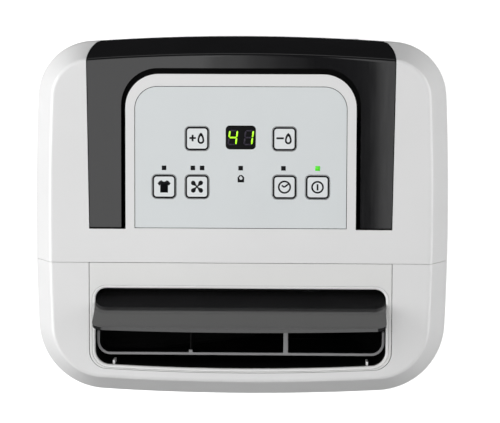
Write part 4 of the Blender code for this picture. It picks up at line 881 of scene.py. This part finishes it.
def clock_icon(node, at, top):
    printed_ring(node + "_dial", circle(at, 5.3 * MM, 48), circle(at, 3.95 * MM, 48), top, node, "key_pale")
    heart = at + Vector((-0.2, -0.1)) * MM
    for name, end in (("minute", Vector((3.4, 2.6))), ("hour", Vector((-2.0, 1.5)))):
        outline = bar_outline(heart, heart + end * MM, 1.25 * MM)
        printed_shape(f"{node}_{name}", outline, top, node, "key_pale")


def power_icon(node, at, top):
    printed_ring(node + "_circle", circle(at, 5.1 * MM, 48), circle(at, 3.75 * MM, 48), top, node, "key_pale")
    reach = Vector((0, 2.5)) * MM
    printed_shape(node + "_bar", bar_outline(at - reach, at + reach, 1.35 * MM), top, node, "key_pale")


def make_lamps():
    """The tops of the light pipes: five dark, the last one lit."""
    top = LABEL_HIGH.z
    places = light_places()
    for index, x in enumerate(places):
        on = index == len(places) - 1
        half = LIGHT_HALF * (1.15 if on else 1.0)
        lamp = prism(f"lamp_{index + 1}", rounded_box(half, half, 0.35 * MM, (x, LIGHT_Y)), top - PRINT,
                     top + 0.12 * MM, LAMP_ON if on else INK)
        stand_for(lamp, "casing", "light_pipe")


def make_tank_icon():
    """A drop falling into an open tank, printed on the label."""
    top = LABEL_HIGH.z
    at = Vector((0.2, 32.6)) * MM
    tray = [(-2.6, 0.7), (-2.6, -2.9), (2.6, -2.9), (2.6, 0.7), (1.3, 0.7), (1.2, -0.3), (0.0, -0.9),
            (-1.2, -0.3), (-1.3, 0.7)]
    printed_shape("tank_icon", [(at.x + x * MM, at.y + y * MM) for x, y in tray], top, "casing", "label_pale")
    for side in (-1, 1):
        eave, peak = Vector((side * 2.5, 0.5)) * MM, Vector((side * 0.25, 2.9)) * MM
        roof = bar_outline(at + eave, at + peak, 1.1 * MM)
        printed_shape(f"tank_icon_lip_{'left' if side < 0 else 'right'}", roof, top, "casing", "label_pale")


SEGMENTS = "abcdefg"
LIT = {"4": "bcfg", "1": "bc"}


def segment_outline(name, width, height, thick):
    """A bar of a seven-segment digit, with pointed ends, before the slant."""
    x, y = width / 2, height / 2
    ends = {
        "a": ((-x, y), (x, y)), "b": ((x, y), (x, 0)), "c": ((x, 0), (x, -y)), "d": ((-x, -y), (x, -y)),
        "e": ((-x, 0), (-x, -y)), "f": ((-x, y), (-x, 0)), "g": ((-x, 0), (x, 0)),
    }[name]
    a, b = Vector(ends[0]), Vector(ends[1])
    along = (b - a).normalized()
    side = Vector((-along.y, along.x)) * thick / 2
    a, b = a + along * 0.2 * MM, b - along * 0.2 * MM
    tip = along * thick / 2
    return [a, a + tip - side, b - tip - side, b, b - tip + side, a + tip + side]


def make_display():
    middle, half = (WINDOW_LOW + WINDOW_HIGH) / 2, (WINDOW_HIGH - WINDOW_LOW) / 2
    top = WINDOW_HIGH.z
    face = fillet([(0.0, WINDOW_LOW.z), (0.0, top), (1 * MM, top)], [0.2 * MM], 4)
    rings = [[(x, y, z) for x, y in rounded_box(half.x - inset, half.y - inset, 3 * MM - inset,
                                                middle.xy)] for inset, z in face]
    stand_for(loft("display_pane", rings, WINDOW_BLACK), "casing", "window_black", "display_window")
    slant = math.tan(math.radians(7))
    for index, digit in enumerate("41"):
        centre = Vector((middle.x + (-6.35 + index * 12.8) * MM, middle.y - 0.1 * MM))
        for name in SEGMENTS:
            shape = segment_outline(name, 6.1 * MM, 11.2 * MM, 1.25 * MM)
            outline = [(centre.x + p.x + p.y * slant, centre.y + p.y) for p in shape]
            on = name in LIT[digit]
            printed_shape(f"digit_{index + 1}_{name}", outline, top + (0.02 * MM if on else 0), "casing",
                          "window_black", SEGMENT_ON if on else SEGMENT_OFF)


# ---- tank, intake and casters --------------------------------------
def make_panel():
    """The tank's front, with a scooped pocket for the fingers and a level slot."""
    half = PANEL_HIGH.x
    middle_z, half_z = (PANEL_HIGH.z + PANEL_LOW.z) / 2, (PANEL_HIGH.z - PANEL_LOW.z) / 2
    slab = prism("tank_front", casing_outline(0), PANEL_LOW.z - 5 * MM, PANEL_HIGH.z + 5 * MM, WHITE)
    cut(slab, prism("room", casing_outline(3.6 * MM), PANEL_LOW.z - 9 * MM, PANEL_HIGH.z + 9 * MM))
    face = rounded_box(half, half_z, 6.4 * MM, (0, middle_z))
    combine(slab, prism("face", face, FRONT_Y - 9 * MM, FRONT_Y + 30 * MM, axis="Y"), "INTERSECT")
    grip = rounded_box(47 * MM, 17 * MM, 9 * MM, (0, 223 * MM))
    join(slab, prism("pocket", grip, FRONT_Y + 2 * MM, -128 * MM, axis="Y"))
    rings = []
    for grow, y in ((3 * MM, FRONT_Y - 2 * MM), (0.8 * MM, FRONT_Y + 1 * MM), (0.0, FRONT_Y + 4 * MM),
                    (-2 * MM, -132 * MM), (-5 * MM, -130.2 * MM)):
        ring = rounded_box(45 * MM + grow, 15 * MM + grow, 8 * MM + grow, (0, 223 * MM))
        rings.append([(x, y, z) for x, z in ring])
    cut(slab, loft("scoop", rings))
    slot = rounded_box(6 * MM, 50 * MM, 5.9 * MM, (78 * MM, 150 * MM))
    cut(slab, prism("slot", slot, FRONT_Y - 9 * MM, -130 * MM, axis="Y"))
    stand_for(soften(slab, 0.5 * MM), "tank", "casing_white", "tank_panel")
    low, high = corners("level_window")
    lens = rounded_box(5.7 * MM, 49.7 * MM, 5.6 * MM, (78 * MM, 150 * MM))
    window = prism("level_lens", lens, low.y, high.y, TANK_CLEAR, axis="Y")
    stand_for(soften(window, 0.4 * MM), "tank", "tank_clear", "level_window")
    for index in range(5):
        mark = box(f"level_mark_{index + 1}", (79.5 * MM, low.y - 0.1 * MM, (112 + 19 * index) * MM),
                   (83 * MM, low.y + 0.1 * MM, (112.8 + 19 * index) * MM), INK)
        stand_for(mark, "tank", "tank_clear")


def make_grille():
    """The intake grille: a bowed frame with slanted louvres and two posts."""
    half = GRILLE_HIGH.x
    middle_z, half_z = (GRILLE_HIGH.z + GRILLE_LOW.z) / 2, (GRILLE_HIGH.z - GRILLE_LOW.z) / 2
    slab = prism("intake_louvres", casing_outline(0), GRILLE_LOW.z - 5 * MM, GRILLE_HIGH.z + 5 * MM, WHITE)
    cut(slab, prism("room", casing_outline(7 * MM), GRILLE_LOW.z - 9 * MM, GRILLE_HIGH.z + 9 * MM))
    face = rounded_box(half, half_z, 6 * MM, (0, middle_z))
    combine(slab, prism("face", face, 120 * MM, 160 * MM, axis="Y"), "INTERSECT")
    columns, rows, edge, post = 3, 18, 8 * MM, 4 * MM
    width, pitch = (2 * half - 2 * edge) / columns, (2 * half_z - 2 * edge) / rows
    for row in range(rows):
        for column in range(columns):
            x = -half + edge + (column + 0.5) * width
            z = GRILLE_LOW.z + edge + (row + 0.5) * pitch
            opening = rounded_box(width / 2 - post / 2, pitch * 0.3, pitch * 0.29, (x, z), 4)
            tool = prism("slot", opening, 120 * MM, 160 * MM, axis="Y")
            shear = Matrix.Identity(4)
            shear[2][1] = 0.35
            wall = Vector((0, rear_wall_y(x), 0))
            tool.data.transform(Matrix.Translation(wall) @ shear @ Matrix.Translation(-wall))
            cut(slab, tool)
    stand_for(soften(slab, 0.35 * MM), "grille", "casing_white", "intake_grille")


def make_net():
    """The filter's woven net: crossing strands."""
    pitch, half = 3.2 * MM, 0.35 * MM
    bm = bmesh.new()

    def strand(low, high):
        made = bmesh.ops.create_cube(bm, size=1.0)
        middle, size = (low + high) / 2, high - low
        place = Matrix.Translation(middle) @ Matrix.Diagonal((*size, 1))
        bmesh.ops.transform(bm, matrix=place, verts=made["verts"])

    middle_y = (MESH_LOW.y + MESH_HIGH.y) / 2
    for i in range(1, round((MESH_HIGH.x - MESH_LOW.x) / pitch)):
        x = MESH_LOW.x + i * pitch
        strand(Vector((x - half, middle_y - half, MESH_LOW.z)),
               Vector((x + half, middle_y + half, MESH_HIGH.z)))
    for i in range(1, round((MESH_HIGH.z - MESH_LOW.z) / pitch)):
        z = MESH_LOW.z + i * pitch
        strand(Vector((MESH_LOW.x, middle_y - half * 0.6, z - half)),
               Vector((MESH_HIGH.x, middle_y + half * 0.6, z + half)))
    stand_for(to_object("filter_net", bm, NET), "grille", "filter_mesh", "filter_mesh")


def make_casters():
    for name in CASTER_CORNERS:
        low, high = corners("caster_wheel_" + name)
        middle, radius, half = (low + high) / 2, (high.z - low.z) / 2, (high.x - low.x) / 2
        centre = middle.yz
        tread = [(2.5 * MM, -half), (5 * MM, -half), (5.6 * MM, -half + 1 * MM),
                 (radius - 4 * MM, -half + 1 * MM), (radius - 3.4 * MM, -half)]
        tread += [(radius - 1.6 * MM + 1.6 * MM * math.sin(a), -half + 1.6 * MM - 1.6 * MM * math.cos(a))
                  for a in [math.pi / 2 * i / 5 for i in range(6)]]
        profile = [(r, middle.x + h) for r, h in tread] + [(r, middle.x - h) for r, h in reversed(tread)]
        wheel = turned("caster_tyre_" + name, centre, profile, WHEEL_GREY, "X")
        stand_for(soften(wheel, 0.25 * MM, 40), "wheel_" + name, "caster_rubber", "caster_wheel_" + name)


def make_screws():
    """Cross-recess screws that hold the rear shell."""
    for index, (x, z) in enumerate([(-104, 236), (104, 236), (-118, 74), (118, 74), (0, 492), (0, 74)]):
        place = Vector((x, 0, z)) * MM
        wall = rear_wall_y(place.x)
        head = fillet([(0.01 * MM, -2 * MM), (3.2 * MM, -2 * MM), (3.2 * MM, -0.15 * MM),
                       (0.01 * MM, -0.02 * MM)], [0.2 * MM, 0.7 * MM], 4)
        profile = [(r, wall + h) for r, h in head]
        screw = turned(f"screw_{index + 1}", place.xz, profile, STEEL, "Y", 32)
        for turn in (0.4, 0.4 + math.pi / 2):
            arm = Vector((math.cos(turn), math.sin(turn))) * 1.7 * MM
            at = Vector(place.xz)
            slit = bar_outline(at - arm, at + arm, 0.75 * MM)
            cut(screw, prism("recess", slit, wall - 1.2 * MM, wall + 1 * MM, axis="Y"))
        stand_for(screw, "casing", "steel_pin")


def dress_cad_nodes():
    """Gives the CAD nodes that keep their own shape a finished material."""
    finishes = {
        "mid_deck": INNER_GREY, "bulkhead": INNER_GREY, "outlet_duct": DUCT_BLACK, "fan_scroll": DUCT_BLACK,
        "electrical_box": INNER_GREY, "filter_frame": INNER_GREY, "display_module": BLACK_PLASTIC,
        "fan_wheel": BLACK_PLASTIC, "float_sensor": BLACK_PLASTIC, "cord_inlet": BLACK_PLASTIC,
        "compressor_grommet_1": GROMMET, "compressor_grommet_2": GROMMET, "compressor_grommet_3": GROMMET,
        "handle_pin_left": BLACK_PLASTIC, "handle_pin_right": BLACK_PLASTIC, "fan_shaft": STEEL,
        "fan_motor": MOTOR_STEEL,
        "flap_motor": MOTOR_STEEL, "run_capacitor": MOTOR_STEEL, "control_board": BOARD_GREEN,
        "light_pipe_strip": WINDOW_BLACK, "evaporator": ALUMINIUM, "condenser": ALUMINIUM,
        "suction_pipe": COPPER, "discharge_pipe": COPPER, "capillary_tube": COPPER, "compressor": ENAMEL,
        "tank": TANK_CLEAR, "tank_lid": TANK_CLEAR, "drip_tray": TRAY_WHITE, "float_arm": TRAY_WHITE,
        "drain_cap": INNER_GREY,
    }
    finishes.update({"caster_fork_" + name: BLACK_PLASTIC for name in CASTER_CORNERS})
    for node, material in finishes.items():
        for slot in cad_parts[node].material_slots:
            slot.material = material


# ---- stage ---------------------------------------------------------
def make_floor():
    shader = Shader("studio_floor", (0.9, 0.9, 0.9), 0.8)
    shader.vary_colour(shader.noise(3, 2), 0.995, 1.005)
    shader.main.inputs["Emission Color"].default_value = (1, 1, 1, 1)
    shader.main.inputs["Emission Strength"].default_value = 0.6
    floor = box("floor", (-5, -5, -0.02), (5, 5, 0), shader.material)
    floor.visible_diffuse = False
    floor.visible_glossy = False


def softbox(name, place, target, size, radiance):
    """A rectangular light of an even radiance, turned to its target."""
    light = bpy.data.lights.new(name, "AREA")
    light.shape = "RECTANGLE"
    light.size, light.size_y = size
    light.energy = size[0] * size[1] * math.pi * radiance
    item = bpy.data.objects.new(name, light)
    item.location = place
    item.rotation_euler = (Vector(target) - Vector(place)).to_track_quat("-Z", "Y").to_euler()
    bpy.context.scene.collection.objects.link(item)


# the overhead bank, as strips from left to right: their edges in x and their radiance
CEILING = TOP + 2.1
STRIPS = [
    (-3.0, -1.5, 0.76), (-1.5, -0.8, 1.28), (-0.8, -0.45, 1.72), (-0.45, -0.12, 1.88), (-0.12, -0.05, 1.08),
    (-0.05, 0.0, 0.53), (0.0, 0.06, 0.2), (0.195, 0.4, 1.36), (0.4, 0.8, 0.9), (0.8, 1.6, 0.42),
]


def make_lights():
    low_y, high_y = -1.2, 2.3
    for index, (left, right, radiance) in enumerate(STRIPS):
        place = Vector(((left + right) / 2, (low_y + high_y) / 2, CEILING))
        size = (right - left, high_y - low_y)
        softbox(f"overhead_{index + 1}", place, place - Vector((0, 0, 1)), size, radiance)
    aim = (0, 0, TOP)
    softbox("side_left", (-2.0, 0.2, 1.0), aim, (1.4, 1.6), 4.15)
    softbox("side_right", (2.0, 0.2, 1.0), aim, (1.4, 1.6), 2.8)
    low = TOP / 2
    softbox("low_left", (-2.0, 0.4, low), (0, 0, low), (1.4, 0.5), 4.2)
    softbox("low_right", (2.0, 0.2, low), (0, 0, low), (1.4, 0.5), 3.0)
    softbox("low_front", (0, -2.0, low), (0, 0, low), (1.6, 0.5), 3.6)
    softbox("low_rear", (0, 2.0, low), (0, 0, low), (2.4, 0.5), 0.9)
    softbox("high_front", (0, -1.9, TOP + 1.5), aim, (1.2, 0.8), 1.0)


def make_world():
    """A faint even light, which the camera sees as the pale wall of a studio."""
    world = bpy.data.worlds.new("studio")
    world.use_nodes = True
    tree = world.node_tree
    background = tree.nodes["Background"]
    background.inputs["Color"].default_value = (1, 1, 1, 1)
    strength = tree.nodes.new("ShaderNodeMapRange")
    strength.inputs["To Min"].default_value = 0.02
    strength.inputs["To Max"].default_value = 0.85
    camera_ray = tree.nodes.new("ShaderNodeLightPath").outputs["Is Camera Ray"]
    tree.links.new(camera_ray, strength.inputs["Value"])
    tree.links.new(strength.outputs["Result"], background.inputs["Strength"])
    bpy.context.scene.world = world


CAMERA = Vector((0.0473, 0.137, TOP + 1.6))
TILT_X, TILT_Y, ROLL = -0.0815, 0.0251, 0.0052
LENS = 142.8


def make_camera():
    data = bpy.data.cameras.new("camera")
    data.sensor_width = 36
    data.lens = LENS
    data.clip_start = 0.01
    camera = bpy.data.objects.new("camera", data)
    turn = Matrix.Rotation(ROLL, 3, "Z") @ Matrix.Rotation(TILT_X, 3, "X") @ Matrix.Rotation(TILT_Y, 3, "Y")
    camera.matrix_world = Matrix.Translation(CAMERA) @ turn.to_4x4()
    bpy.context.scene.collection.objects.link(camera)
    bpy.context.scene.camera = camera


make_camera()
make_floor()
make_lights()
make_world()
make_cover()
make_front()
make_rear()
make_tray()
make_handle()
make_outlet()
make_flap()
make_grid()
make_label()
for node, icon in zip(KEY_NODES, (plus_icon, minus_icon, shirt_icon, fan_icon, clock_icon, power_icon)):
    make_key(node, icon)
make_lamps()
make_tank_icon()
make_display()
make_panel()
make_grille()
make_net()
make_casters()
make_screws()
dress_cad_nodes()
bpy.context.scene.view_settings.view_transform = "Standard"
